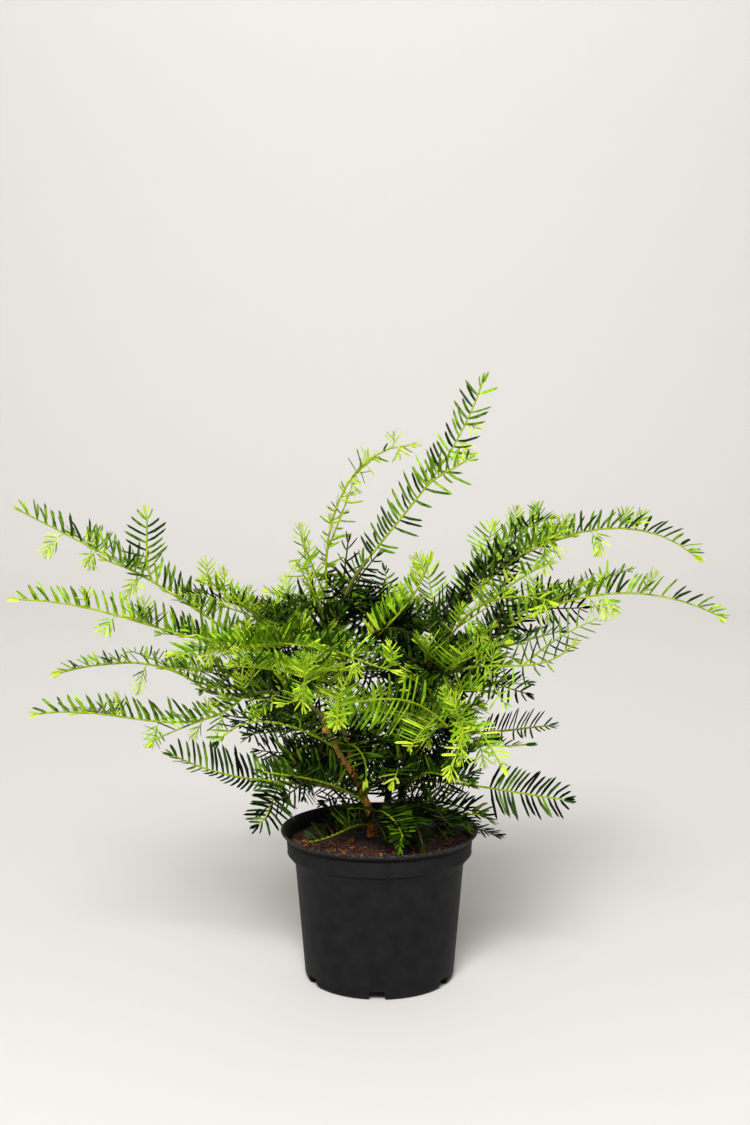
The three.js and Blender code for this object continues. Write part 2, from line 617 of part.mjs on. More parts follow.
const plant = new THREE.Group();
plant.add(named("pot", geometryOf(potSolid()), PLASTIC));
plant.add(named("soil", soilGeometry(), EARTH));
for (const limb of limbs.values()) {
  const solid = clearOfParent(limbSolid(limb, 0), limb.parent);
  plant.add(named(limb.name, geometryOf(solid), limb.sides === STEM_SIDES ? BARK : GREEN_BARK));
}
for (const mass of masses) {
  plant.add(named(mass.row.name, geometryOf(massSolid(mass)), TONES[mass.row.tone]));
}

export default plant;
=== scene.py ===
import math

import bpy
import numpy as np
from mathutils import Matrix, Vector, noise


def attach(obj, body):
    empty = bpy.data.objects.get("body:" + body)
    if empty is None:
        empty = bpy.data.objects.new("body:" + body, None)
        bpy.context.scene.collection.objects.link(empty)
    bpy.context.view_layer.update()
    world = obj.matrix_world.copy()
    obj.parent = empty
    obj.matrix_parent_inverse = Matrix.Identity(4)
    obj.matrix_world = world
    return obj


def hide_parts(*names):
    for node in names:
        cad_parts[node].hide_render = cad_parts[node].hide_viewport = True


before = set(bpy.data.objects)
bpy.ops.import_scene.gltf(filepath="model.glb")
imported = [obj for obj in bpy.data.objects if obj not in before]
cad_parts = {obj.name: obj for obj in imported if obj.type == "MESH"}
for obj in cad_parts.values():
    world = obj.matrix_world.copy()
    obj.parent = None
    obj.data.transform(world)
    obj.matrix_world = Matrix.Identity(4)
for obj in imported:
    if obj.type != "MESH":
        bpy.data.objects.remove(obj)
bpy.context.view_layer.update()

MM = 0.001

# Camera of the photograph's view, with its lens for a 36 mm sensor
CAMERA_PLACE = (-0.0043, -1.510, 0.574)
CAMERA_PITCH = 6.5
CAMERA_LENS = 51.46

# Studio: the floor's size and where it curves up, in metres, and the lights as a name, a place, a turn in
# degrees, a size and a power
FLOOR_SIZE = 12
FLOOR_SHIFT = 2
FLOOR_STRIPS = 60
CURVE_START = 2.5
CURVE_RADIUS = 1.5
SURROUND_STRENGTH = 0.33
LIGHTS = [
    ("key", (-0.4, -2.9, 3.1), (46, 0, -8), 1.5, 190),
    ("fill", (2.2, -2.2, 1.8), (60, 0, 45), 2.0, 5),
    ("backdrop_wash", (0, 1.2, 3.6), (72, 0, 0), 3.0, 61),
]

# Pot, outside sizes in millimetres
POT_HEIGHT = 145
LIP_RADIUS = 95
BAND_RADIUS = 89.5
BAND_FOOT_RADIUS = 88.3
BAND_FOOT = 120
BODY_RADIUS = 81
BODY_TOP = 112
BASE_RADIUS = 71.6
POT_WALL = 2
SKIRT_WIDTH = 6
FLOOR_RISE = 9
FOOT_DISC_RADIUS = 34
POT_SIDES = 144
NOTCHES = 6
NOTCH_WIDTH = 17
NOTCH_TOP_SHARE = 0.82
NOTCH_HEIGHT = 8.7
NOTCH_HEADING = 268
POT_EDGE = 0.35
BEVEL_FROM = 40
POT_CREASE = 35
MOULD_NUB = (7.5, -88.2, 121.5)
NUB_RADIUS = 1.3

# Soil: its crumbs are a size, a lift and a layer of noise each; its chips lie within a radius.
SOIL_TOP = 133
SOIL_RADIUS = 85.9
SOIL_DEPTH = 14
SOIL_RINGS = 84
SOIL_RING_SHARES = (1, 0.012)
SOIL_SINK = 1.2
SOIL_CRUMBS = [(17, 1.6, 0.3), (6.5, 1.1, 5.1), (2.4, 0.5, 9.7)]
HEAP_PLACE = (2, 30)
HEAP_HEIGHT = 2.2
HEAP_SPREAD = 900
# Middle of the painted shade on the soil under the crown, in metres
SHADED_SOIL_MIDDLE = (0, 0.03, 0.133)
CHIP_REACH = 83
CHIP_THICKNESS = (0.3, 0.6)
CHIP_KNOCKS = (0.6, 1.0)
CHIP_TILT = 0.3
CHIP_REST = 0.35
# Chips: a name, how many, a seed, their lengths, their finish with its two colours, and how they are strewn
CHIPS = [
    ("soil_chips_dark", 420, 5, (1.5, 6), "composted_bark_dark", "#1c100b", "#3b2116", {}),
    ("soil_chips_russet", 420, 6, (1.2, 5), "composted_bark_russet", "#451a08", "#7a3814",
     dict(from_middle=0.4)),
    ("soil_chips_tan", 50, 7, (1, 3), "composted_bark_tan", "#80552e", "#b08852",
     dict(from_middle=0.3, headings=(180, 360))),
    ("soil_chips_orange", 130, 8, (1.2, 6), "fresh_bark_chips", "#8a4418", "#c07434",
     dict(from_middle=0.3, headings=(175, 365))),
    ("dry_needles", 70, 9, (12, 20), "fallen_needles", "#5e3a20", "#94683e",
     dict(across=(0.06, 0.09), from_middle=0.5)),
]

# Stems and boughs
BARK_STRETCH = (1, 1, 0.3)
LINE_STEPS = 200
LINE_HANDLE = 0.37
STEEP = 0.86
UPRIGHT = (0, 90)
GAP = 0.3
ROOT_FLARE = 0.5
FLARE_HEIGHT = 6
BARK_NOISE = (0.9, 2.1, 3)
BUD_SCAR_SHARES = (0.79, 0.87, 0.95)
BUD_SCAR_SIZE = (2.6, 1.6, 3.2)
BUD_SCAR_LEAN = (0.3, 0.5)
BOUGH_RADII = (2.4, 1.9)

# Kinds of shoot: radii at foot and tip, the reach of their needles, their share of the row's lift, the
# needles' width, their spacing on one side at foot and tip, their sweep there, and how long a stretch the
# bud at the tip draws together. HABIT is what sets a row apart: its share of the spacing, reach and width,
# the share of its shoot that is bare and of its right-hand needles that are left, its own tone, and how
# many of its twigs are kept. PLAIN_HABIT stands for all the others.
SHOOT = dict(radii=(1.3, 0.8), reach=25, lift_share=1, width=3.1, pitch=(5.6, 9.6), sweep=(80, 62), bud=11)
FORK = dict(radii=(1.15, 0.7), reach=23, lift_share=0.6, width=2.9, pitch=(5.2, 6.8), sweep=(77, 58), bud=11)
INNER_SHOOT = dict(FORK, lift_share=1.0)
INFILL_TWIG = dict(INNER_SHOOT, radii=(1.0, 0.55), reach=24, width=3.0)
TWIG = dict(radii=(1.0, 0.55), reach=22, lift_share=0.6, width=2.7, pitch=(5.2, 6.4), sweep=(76, 56), bud=11)
SPRIG = dict(radii=(0.65, 0.4), reach=13, lift_share=1.0, width=1.8, pitch=(2.6, 2.2), sweep=(58, 34), bud=4)
PLAIN_HABIT = dict(pitch=1, reach=1, width=1, bare=0, right=1, keep=9)
HABIT = {
    "foliage_leader": dict(pitch=0.68, reach=1.05, width=0.95, right=0.4),
    "foliage_left_top": dict(pitch=1.05, reach=1.15),
    "foliage_left_upper": dict(keep=3),
    "foliage_right_top": dict(pitch=1.05, keep=2),
    "foliage_upright_thin": dict(pitch=1.5, reach=0.8, width=0.8),
    "foliage_right_bright": dict(pitch=1.5, reach=0.65, width=0.8),
    "foliage_right_upper": dict(pitch=1.25, reach=1.05, width=0.9, keep=2),
    "foliage_right_thin": dict(pitch=1.25, reach=1.05, width=0.65),
    "foliage_right_small": dict(pitch=1.4, reach=0.85, width=0.9),
    "foliage_right_side": dict(pitch=0.8, reach=0.7, width=0.7, keep=0),
    "foliage_right_back": dict(pitch=0.55, reach=0.9, width=0.75),
    "foliage_right_low": dict(pitch=0.62, reach=1.15, width=0.95, bare=0.5, keep=0),
    "foliage_left_middle": dict(pitch=1.2, reach=0.8, width=0.8),
    "foliage_left_low": dict(pitch=0.65, reach=1.1, width=1.0, keep=0),
    "foliage_front_cluster": dict(pitch=0.9, reach=0.7, width=1.0),
    "foliage_front_mid": dict(pitch=0.85, reach=1.05, width=0.9, tone="middle"),
    "foliage_front_low_right": dict(pitch=0.7, reach=1.0, width=1.2, keep=1),
    "foliage_front_foot": dict(pitch=0.6, reach=0.85, width=0.8, keep=1),
    "foliage_over_soil": dict(pitch=0.6, reach=0.95, width=0.85, tone="dark"),
}
# Boughs that carry needles too: the share where these begin, their lift and their tone
LEAFY_BOUGH = dict(INNER_SHOOT, radii=BOUGH_RADII, reach=25, pitch=(5.8, 6.4), bud=1)
LEAFY = {
    "bough_leader": (0.35, 20, "dark"),
    "bough_left_top": (0.35, 45, "dark"),
    "bough_left_upper": (0.1, 50, "dark"),
    "bough_left_arm": (0.2, 50, "dark"),
    "bough_left_back": (0.2, 50, "dark"),
    "bough_left_low": (0.45, 30, "dark"),
    "bough_right_top": (0.15, 45, "dark"),
    "bough_right_mid": (0.3, 40, "dark"),
    "bough_right_front": (0.35, 40, "dark"),
    "bough_right_back": (0.4, 35, "dark"),
    "bough_front_mid": (0.3, 35, "middle"),
    "bough_back_left": (0.3, 40, "dark"),
    "bough_back_mid": (0.3, 40, "dark"),
    "bough_back_right": (0.3, 40, "dark"),
}
BARE_FOOT = 4
BARE_TIP = 1.5
PAIR_OFFSET = 0.12
NEEDLES_KEPT = 0.96
REACH_END = 0.72
REACH_SWELL = 0.38
REACH_SKEW = 0.8
REACH_SPREAD = (0.84, 1.04)
STEP_JITTER = 0.06
LIFT_JITTER = 4
SWEEP_JITTER = 3
TIP_SWEEP = 20

# Inner twigs: how many, how much they gather low down, how long, and the crown that they fill, as rows of a
# height, how far to the right its middle is there, and its radius. Its middle is set back, and to the front
# it is shallower, by a share. They start from places along the limbs and from the first few of each mass.
# A place that is higher or further out than the twig's tip counts as further off, by a weight.
INFILL_COUNT = 900
INFILL_LOW = 1.7
CROWN_FRONT = 0.45
CROWN_BACK = 12
CROWN_CORE = 0.06
INFILL_SEED = 11
INFILL_LENGTH = (32, 95)
CROWN = [(148, 0, 46), (195, -2, 68), (250, -5, 104), (305, -5, 140), (340, -15, 130), (365, -45, 60)]
INFILL_OUT = 0.6
INFILL_CLIMB = (-0.5, 0.4)
INFILL_LIFT = (0, 35)
INFILL_FAN = 8
INFILL_ROLL = (-50, 50)
INFILL_SHADE = [(0.72, 215), (0.92, 260)]
HOST_SHARES = np.linspace(0.06, 1, 20)
MASS_HOSTS = 7
WRONG_WAY = 2
STEM_VIEW = 13
POT_ROOM = 4

# Side twigs, as the solids have them
TWIG_SPAN = (0.1, 0.82)
TWIG_PLACE = (0.2, 0.8)
TWIG_ANGLE = (40, 62)
TWIG_CLOSING = 0.65
TWIG_LENGTH = 88
TWIG_SPREAD = (0.7, 1.2)
TWIG_FALL = (1.05, 0.45)
TWIG_CLIMB = (-0.25, 0.35)
TWIG_DROOP = 0.15
TWIG_BEND = 0.6

# Inner sprays and sprigs
INNER_SEED = 101
INNER_OUT = 0.5
INNER_DROOP = 0.15
LEAFY_SEED = 201
SPRIG_SEED = 29
SPRIG_FORWARD = (-0.1, 0.7)
SPRIG_LEAN = 0.3
SPRIG_FRONT = 0.35
SPRIG_ROW = dict(lift=10, fan=32)
SPRIG_LEAVE = 0.6
SPRIG_CURVE = 0.2

# Needles come in five tones, dealt out by spray: one spray is this long a stretch of a shoot.
SPRAY_LENGTH = 13.2
BRIGHT_TIP = 12
TONES = ["shade", "dark", "leaf", "bright", "fresh"]
ROW_TONE = {"shade": 0, "dark": 1, "middle": 2, "fresh": 3}
PIECE_NEEDLES = 8500

# The bud at a shoot's tip: small needles, just behind its end
BUD_NEEDLES = 6
BUD_BACK = 0.6
BUD_SWEEP = (8, 30)
BUD_REACH = (0.3, 0.5)

# Along a needle: share of its length and width as a share of its full one. The last point is the tip.
# Needles shorter than a full one are narrower too. Bend is to the side and sag to the face, as a mean and
# a spread, in shares of the length.
NEEDLE_OUTLINE = [(0.0, 0.6), (0.35, 1.0), (0.85, 0.8)]
NEEDLE_RIDGE = 0.16
NEEDLE_CREASE = 30
NEEDLE_WIDTHS = (0.85, 1.1)
FULL_NEEDLE = 14
NARROWEST = 0.6
NEEDLE_ROOT = 0.4
NEEDLE_TWIST = 12
NEEDLE_BEND = (0.16, 0.05)
NEEDLE_SAG = (-0.05, 0.05)
NEEDLE_COLOURS = {
    "shade": ("#050a02", "#0f1c04"),
    "dark": ("#0f2003", "#305408"),
    "leaf": ("#2c4805", "#759e1c"),
    "bright": ("#5f8a08", "#aada2a"),
    "fresh": ("#a4c614", "#d8ec4a"),
}

# Ways are a heading, 0 being +X and 90 +Y, and a rise above level, in degrees.
STEMS = [
    dict(name="stem_front", foot=(-7, 12), tip=(-55, -22, 262), arrive=(220, 72), radii=(3.9, 1.9)),
    dict(name="stem_middle", on="stem_front", at=0.42, leave=(165, 76), tip=(-36, -8, 309),
         arrive=(10, 80), radii=(2.6, 1.9)),
    dict(name="stem_leader", foot=(-15, 40), tip=(-41, 25, 341), arrive=(215, 80), radii=(4.3, 2.4)),
    dict(name="stem_right", foot=(20, 22), tip=(64, 5, 327), arrive=(335, 70), radii=(4.3, 2.4)),
    dict(name="stem_back", foot=(8, 54), tip=(22, 112, 296), arrive=(80, 74), radii=(3.9, 2.3)),
]


def table(keys, rows):
    """Rows as dictionaries of their filled cells, with what is special to a row as its last cell."""
    return [{**{key: cell for key, cell in zip(keys, row) if cell is not None}, **dict(*row[len(keys):])}
            for row in rows]


BOUGHS = table(("name", "on", "at", "leave", "tip", "arrive"), [
    ("bough_leader", "stem_leader", 1, (20, 78), (-11, 20, 403), (0, 52)),
    ("bough_left_top", "stem_leader", 0.74, (180, 15), (-126, 30, 315), (178, 38)),
    ("bough_left_upper", "stem_middle", 1, (195, 50), (-76, -20, 328), (195, -8)),
    ("bough_left_arm", "stem_front", 0.97, (200, 50), (-127, -30, 279), (190, -20)),
    ("bough_left_back", "stem_leader", 0.6, (170, 35), (-170, 45, 270), (172, 15)),
    ("bough_left_low", "stem_front", 0.3, (185, 20), (-85, -10, 192), (190, 5)),
    ("bough_right_top", "stem_right", 1, (350, 72), (87, 15, 366), (10, 48)),
    ("bough_right_mid", "stem_right", 0.9, (335, 15), (113, -20, 338), (350, 35)),
    ("bough_right_front", "stem_right", 0.76, (290, 30), (77, -45, 308), (325, 18)),
    ("bough_right_back", "stem_back", 0.5, (350, 15), (100, 75, 222), (345, 3)),
    ("bough_back_left", "stem_back", 0.6, (125, 30), (-60, 150, 275), (140, 15)),
    ("bough_back_mid", "stem_back", 1, (80, 72), (30, 150, 318), (80, 12)),
    ("bough_back_right", "stem_back", 0.82, (40, 35), (90, 150, 300), (30, 20)),
    ("bough_front_mid", "stem_middle", 0.82, (245, 50), (-65, -60, 333), (295, 15)),
    ("bough_front_right", "stem_right", 0.5, (280, 35), (62, -62, 258), (300, 8)),
])

# Masses go on from their limb's tip, in its direction, where they have no place or way of their own.
MASSES = table(("name", "on", "at", "leave", "tip", "arrive", "lift", "roll", "twigs", "tone", "seed"), [
    ("left_top", "bough_left_top", None, None, (-348, 50, 446), (178, 27), 50, 0, 3, "middle", 11,
     dict(fork=dict(at=0.44, leave=(150, 60), tip=(-226, 45, 444), arrive=(200, 85)))),
    ("left_upper", "bough_left_upper", None, None, (-325, -75, 377), (190, 2), 55, 0, 4, "middle", 76),
    ("left_middle", "bough_left_back", None, (172, 40), (-316, 60, 285), (176, -16), 40, 0, 2, "middle",
     13),
    ("left_lower", "bough_left_arm", None, (190, -45), (-313, -60, 269), (190, -8), 45, 0, 2, "middle", 78),
    ("left_low", "bough_left_low", None, None, (-194, -30, 223), (190, 28), 30, -40, 1, "dark", 15,
     dict(fork=dict(at=0.05, leave=(200, -35), tip=(-114, -36, 158), arrive=(195, -35)))),
    ("left_back", "stem_leader", 0.42, (150, 30), (-149, 60, 242), (185, 12), 50, 0, 2, "dark", 16),
    ("left_inner", "stem_leader", 0.8, (190, 30), (-165, -15, 385), (180, 32), 40, 0, 5, "fresh", 17),
    ("leader", "bough_leader", None, None, (97, 15, 571), (0, 72), 10, 90, 0, "middle", 21,
     dict(fan=32, fork=dict(at=0.42, leave=(330, 50), tip=(85, 0, 501), arrive=(350, 38)))),
    ("upright_thin", "stem_leader", 0.9, (200, 65), (28, -8, 513), (352, 2), 10, 80, 3, "fresh", 22,
     dict(fan=30)),
    ("upright_left", "stem_leader", 0.86, (140, 50), (-73, 45, 414), (110, 80), 20, 90, 1, "fresh", 26,
     dict(fan=30)),
    ("upright_right", "stem_middle", 0.93, (335, 45), (46, -30, 406), (355, 72), 55, 0, 1, "fresh", 24),
    ("upright_back", "stem_back", 0.94, (110, 45), (-60, 85, 381), (180, -5), -40, 0, 3, "dark", 25),
    ("right_top", "bough_right_top", None, None, (306, 40, 404), (5, -40), 45, 0, 4, "middle", 31),
    ("right_crest", "stem_right", 0.84, (62, 62), (168, 50, 418), (0, -62), 35, 0, 4, "middle", 32),
    ("right_upper", "bough_right_mid", None, None, (310, -50, 359), (350, -26), 48, 0, 4, "middle", 33),
    ("right_bright", "stem_right", 0.94, (290, 45), (148, -120, 382), (320, -8), 40, 0, 2, "fresh", 34),
    ("right_thin", "bough_right_front", None, None, (171, -95, 338), (335, 48), 15, 50, 2, "middle", 85),
    ("right_small", "stem_right", 0.7, (5, 8), (122, 15, 288), (0, 20), 20, 0, 2, "dark", 36),
    ("right_back", "bough_right_back", None, None, (167, 45, 235), (340, 8), 15, 35, 0, "dark", 37),
    ("right_side", "stem_right", 0.42, (345, 25), (139, -15, 230), (0, 8), 12, 0, 3, "dark", 38),
    ("right_low", "stem_right", 0.26, (320, 12), (175, -25, 179), (352, -6), 12, 70, 1, "dark", 42),
    ("right_foot", "stem_right", 0.14, (325, 25), (95, -30, 166), (345, 5), 20, 40, 2, "dark", 40),
    ("right_far", "stem_back", 0.72, (0, 40), (184, 110, 319), (5, 15), 25, 0, 4, "dark", 41),
    ("front_mid", "bough_front_mid", None, (310, 5), (10, -130, 322), (340, -12), 55, 0, 1, "fresh", 51),
    ("front_low", "stem_middle", 0.5, (262, 35), (-36, -205, 290), (268, -18), 30, 0, 2, "fresh", 52),
    ("front_right", "bough_front_right", None, (215, 42), (-29, -140, 295), (190, -8), -8, 80, 0, "middle",
     53),
    ("front_cluster", "stem_right", 0.52, (300, 45), (60, -150, 240), (215, -50), 30, 0, 0, "fresh", 54,
     dict(fork=dict(at=0.62, leave=(315, -5), tip=(106, -145, 240), arrive=(320, -50)))),
    ("front_foot", "stem_front", 0.16, (285, 30), (21, -78, 158), (275, -12), 18, 0, 3, "dark", 55),
    ("over_soil", "stem_front", 0.07, (230, 25), (-66, -42, 143), (190, -5), 55, 0, 0, "middle", 56),
    ("front_left", "stem_middle", 0.74, (240, 35), (-66, -190, 319), (265, 0), 30, 0, 2, "fresh", 57),
    ("front_star", "stem_front", 0.72, (235, 30), (-145, -100, 252), (230, -35), 15, 0, 1, "dark", 58),
    ("front_low_left", "stem_front", 0.22, (215, 40), (-108, -60, 215), (195, 12), 50, 0, 2, "dark", 59),
    ("front_low_right", "stem_right", 0.19, (300, 45), (81, -100, 213), (320, -8), 50, 0, 2, "dark", 60),
    ("back_left", "bough_back_left", None, None, (-190, 215, 292), (145, 0), 35, 0, 4, "middle", 61),
    ("back_mid", "bough_back_mid", None, None, (15, 265, 332), (95, -5), 35, 0, 4, "middle", 62),
    ("back_right", "bough_back_right", None, None, (215, 205, 335), (35, -15), 35, 0, 4, "middle", 63),
    ("back_low", "stem_back", 0.3, (95, 25), (-25, 205, 205), (105, -5), 20, 0, 3, "dark", 64),
    ("back_upper", "stem_leader", 0.96, (105, 25), (-115, 165, 352), (135, 12), 35, 0, 4, "middle", 74),
])
for row in MASSES:
    row["name"] = "foliage_" + row["name"]

# Inner sprays that the photograph shows. Those that face the viewer are rolled to stand on edge.
INNER = table(("on", "at", "tip", "lift", "roll", "twigs", "tone"), [
    ("bough_left_top", 0.95, (-58, -95, 337), 60, 0, 0, "middle", dict(leave=(320, 15), arrive=(350, -5))),
    ("stem_front", 0.86, (-119, -30, 279), -20, 40, 2, "dark"),
    ("bough_left_back", 0.35, (-200, -20, 304), 55, 0, 2, "middle"),
    ("bough_left_arm", 0.1, (-160, 30, 276), 50, 0, 2, "middle"),
    ("foliage_front_left", 0.15, (-134, -70, 315), 50, 0, 2, "fresh"),
    ("bough_left_arm", 0.05, (-130, 40, 224), 10, 60, 2, "dark"),
    ("bough_left_back", 0.15, (-116, 60, 286), 40, 0, 2, "middle"),
    ("stem_leader", 0.8, (-76, 10, 341), 30, 40, 2, "dark"),
    ("foliage_upright_left", 0.05, (-107, 20, 332), 50, 0, 2, "middle"),
    ("foliage_left_inner", 0.4, (-137, -40, 372), 40, 0, 2, "middle"),
    ("bough_front_right", 0.95, (-40, -130, 284), -12, 80, 0, "middle",
     dict(leave=(195, 12), arrive=(185, -10))),
    ("stem_right", 0.82, (-12, -60, 341), -45, 0, 0, "shade", dict(leave=(215, 65), arrive=(190, -30))),
    ("stem_right", 0.7, (-7, -60, 320), 10, 70, 2, "dark"),
    ("stem_right", 0.75, (40, -90, 343), 40, 0, 1, "fresh"),
    ("stem_right", 0.62, (88, -90, 297), 50, 0, 1, "fresh"),
    ("bough_right_front", 0.4, (79, -120, 337), 30, 0, 1, "fresh"),
    ("foliage_front_cluster", 0.3, (26, -165, 261), 30, 0, 1, "fresh"),
    ("foliage_right_bright", 0.5, (148, -100, 412), 30, 0, 0, "fresh"),
    ("bough_left_upper", 0.9, (-183, -90, 329), 40, 0, 0, "fresh"),
    ("foliage_right_small", 0.05, (18, 0, 328), 10, 60, 2, "dark"),
    ("stem_right", 0.35, (-7, -30, 262), 10, 60, 2, "shade"),
    ("stem_back", 0.2, (-28, 0, 219), 10, 50, 2, "shade"),
    ("stem_right", 0.17, (2, -35, 211), 10, 60, 2, "shade"),
    ("foliage_right_foot", 0.13, (20, -40, 224), 10, 50, 2, "dark"),
    ("stem_middle", 0.3, (-13, -60, 208), 10, 0, 0, "middle", dict(leave=(280, 25), arrive=(250, -60))),
    ("stem_right", 0.25, (12, -60, 205), 10, 0, 0, "middle", dict(leave=(220, 20), arrive=(235, -40))),
    ("foliage_right_foot", 0.1, (104, -25, 160), 35, 0, 1, "dark",
     dict(leave=(310, 20), arrive=(340, -25))),
    ("foliage_right_foot", 0.05, (80, -45, 158), 35, 0, 0, "dark",
     dict(leave=(290, 15), arrive=(330, -15))),
    ("stem_right", 0.16, (18, -70, 147), 6, 0, 0, "dark",
     dict(leave=(250, 5), arrive=(262, -40), habit=dict(pitch=0.5, reach=0.7))),
    ("stem_right", 0.17, (40, -64, 146), 8, 0, 2, "shade",
     dict(leave=(275, 5), arrive=(285, -40), habit=dict(pitch=0.5, reach=0.8))),
    ("stem_right", 0.12, (64, -48, 147), 8, 0, 2, "shade",
     dict(leave=(300, 10), arrive=(305, -30), habit=dict(pitch=0.5, reach=0.8))),
    ("stem_right", 0.08, (28, -50, 140), 8, 0, 2, "shade",
     dict(leave=(262, 25), arrive=(275, -25), habit=dict(pitch=0.6, reach=0.8))),
    ("stem_leader", 0.3, (-62, 20, 236), 15, 70, 2, "shade"),
    ("stem_leader", 0.2, (28, 10, 232), 15, 60, 2, "shade"),
    ("stem_back", 0.15, (-42, 20, 205), 15, 60, 2, "shade"),
    ("stem_right", 0.3, (48, -20, 236), 15, 70, 2, "shade"),
    ("stem_front", 0.14, (6, -48, 146), 8, 0, 0, "shade",
     dict(leave=(270, 10), arrive=(280, -30), habit=dict(pitch=0.7, reach=0.8))),
    ("stem_front", 0.35, (-84, -30, 216), 15, 70, 2, "dark"),
    ("stem_front", 0.55, (-80, 0, 227), 15, 70, 2, "dark"),
    ("stem_front", 0.65, (-93, 40, 192), 10, 60, 2, "shade"),
    ("bough_right_top", 0.25, (119, 0, 404), 55, 0, 2, "dark"),
    ("foliage_right_top", 0.05, (134, 20, 427), 10, 60, 0, "dark"),
    ("foliage_right_top", 0.13, (164, 50, 430), 10, 60, 0, "middle"),
    ("bough_right_mid", 0.7, (165, 0, 380), 20, 60, 2, "dark"),
    ("bough_leader", 0.2, (-3, 10, 407), 10, 70, 0, "dark", dict(habit=dict(pitch=1.6, width=0.7))),
    ("stem_leader", 0.93, (-30, 15, 420), 10, 40, 0, "dark", dict(habit=dict(pitch=1.8, width=0.7))),
    ("bough_right_front", 0.65, (122, -40, 334), 25, 50, 2, "dark"),
    ("foliage_right_low", 0.12, (84, -40, 229), 15, 60, 2, "dark"),
    ("stem_back", 0.95, (60, -40, 355), 20, 60, 2, "dark"),
])

# Fresh sprigs: the shares of a line where they hang from it, and those where they stand up on it
SPRIGS = {
    "foliage_left_top": ([0.48, 0.5, 0.68, 0.7, 0.82], [0.17, 0.2, 0.24, 0.29, 0.66]),
    "bough_left_upper": ([0.5, 0.8], [0.4, 0.7, 0.95]),
    "bough_left_arm": ([0.6, 0.9], [0.5, 0.85, 0.95]),
    "foliage_left_upper": ([0.3, 0.66], [0.06, 0.18, 0.33, 0.55, 0.75]),
    "foliage_left_middle": ([0.42], [0.05, 0.15, 0.25]),
    "foliage_left_lower": ([0.12, 0.22, 0.43], [0.08, 0.2, 0.58]),
    "foliage_left_inner": ([0.5], [0.45, 0.7, 0.85, 0.95]),
    "foliage_leader": ([0.65, 0.7, 0.8], [0.53]),
    "foliage_upright_thin": ([0.7, 0.95], [0.5, 0.8, 0.93]),
    "foliage_upright_left": ([0.9], [0.6, 0.8, 0.95]),
    "foliage_upright_right": ([], [0.6, 0.8, 0.9]),
    "foliage_right_crest": ([0.92], [0.75, 0.85, 0.9]),
    "foliage_right_top": ([0.36, 0.38, 0.55, 0.57], [0.36, 0.38, 0.42, 0.66, 0.7]),
    "foliage_right_upper": ([0.42, 0.46, 0.48], [0.5, 0.66]),
    "foliage_right_bright": ([0.33, 0.97], [0.25, 0.5, 0.9]),
    "foliage_right_thin": ([0.2], [0.1, 0.25]),
    "foliage_right_side": ([0.6], [0.5, 0.65]),
    "foliage_front_mid": ([0.6], [0.9, 0.96]),
    "foliage_front_low": ([0.74, 0.76, 0.8], [0.72]),
    "foliage_front_left": ([0.8, 0.85, 0.9], [0.6, 0.84]),
    "foliage_front_cluster": ([0.55, 0.6, 0.7, 0.85, 0.95], [0.4, 0.5, 0.58, 0.64]),
    "foliage_back_left": ([0.4, 0.8], [0.55]),
    "foliage_back_mid": ([0.5, 0.75], [0.4, 0.9]),
    "foliage_back_right": ([0.45, 0.7], [0.6, 0.85]),
    "foliage_back_upper": ([0.6], [0.5, 0.8]),
    "bough_front_right": ([0.05, 0.5], [0.45]),
    "stem_right": ([0.5, 0.52], []),
}
SPRIG_LENGTH = (15, 28)
UPRIGHT_SPRIG_LENGTH = (9, 15)


def colour(code):
    """An sRGB hex code as linear RGBA."""
    channels = [int(code[start:start + 2], 16) / 255 for start in (1, 3, 5)]
    return [c / 12.92 if c <= 0.04045 else ((c + 0.055) / 1.055) ** 2.4 for c in channels] + [1.0]


def per_mm(size):
    """The pattern scale that gives features of a size in millimetres."""
    return 1 / (size * MM)


def add_node(tree, kind, settings=None, links=None):
    """Adds a node, sets its properties, input values and ramp colours, and links outputs to its inputs."""
    node = tree.nodes.new(kind)
    for name, value in (settings or {}).items():
        if name == "ramp":
            elements = node.color_ramp.elements
            while len(elements) < len(value):
                elements.new(0.5)
            for element, (place, code) in zip(elements, value):
                element.position = place
                element.color = colour(code)
        elif isinstance(name, int) or name in node.inputs.keys():
            node.inputs[name].default_value = value
        else:
            setattr(node, name, value)
    for name, source in (links or {}).items():
        tree.links.new(source, node.inputs[name])
    return node


def start_material(name, **sockets):
    """A new material's node tree, its shader with the given constant sockets, and Object coordinates."""
    material = bpy.data.materials.new(name)
    material.use_nodes = True
    tree = material.node_tree
    shader = tree.nodes["Principled BSDF"]
    for socket, value in sockets.items():
        shader.inputs[socket.replace("_", " ")].default_value = value
    place = add_node(tree, "ShaderNodeTexCoord").outputs["Object"]
    return material, tree, shader, place


def roughen(tree, shader, pattern, low, high):
    """Lets a pattern vary the shader's roughness from low to high."""
    spread = add_node(tree, "ShaderNodeMapRange", {"To Min": low, "To Max": high}, {"Value": pattern})
    tree.links.new(spread.outputs["Result"], shader.inputs["Roughness"])


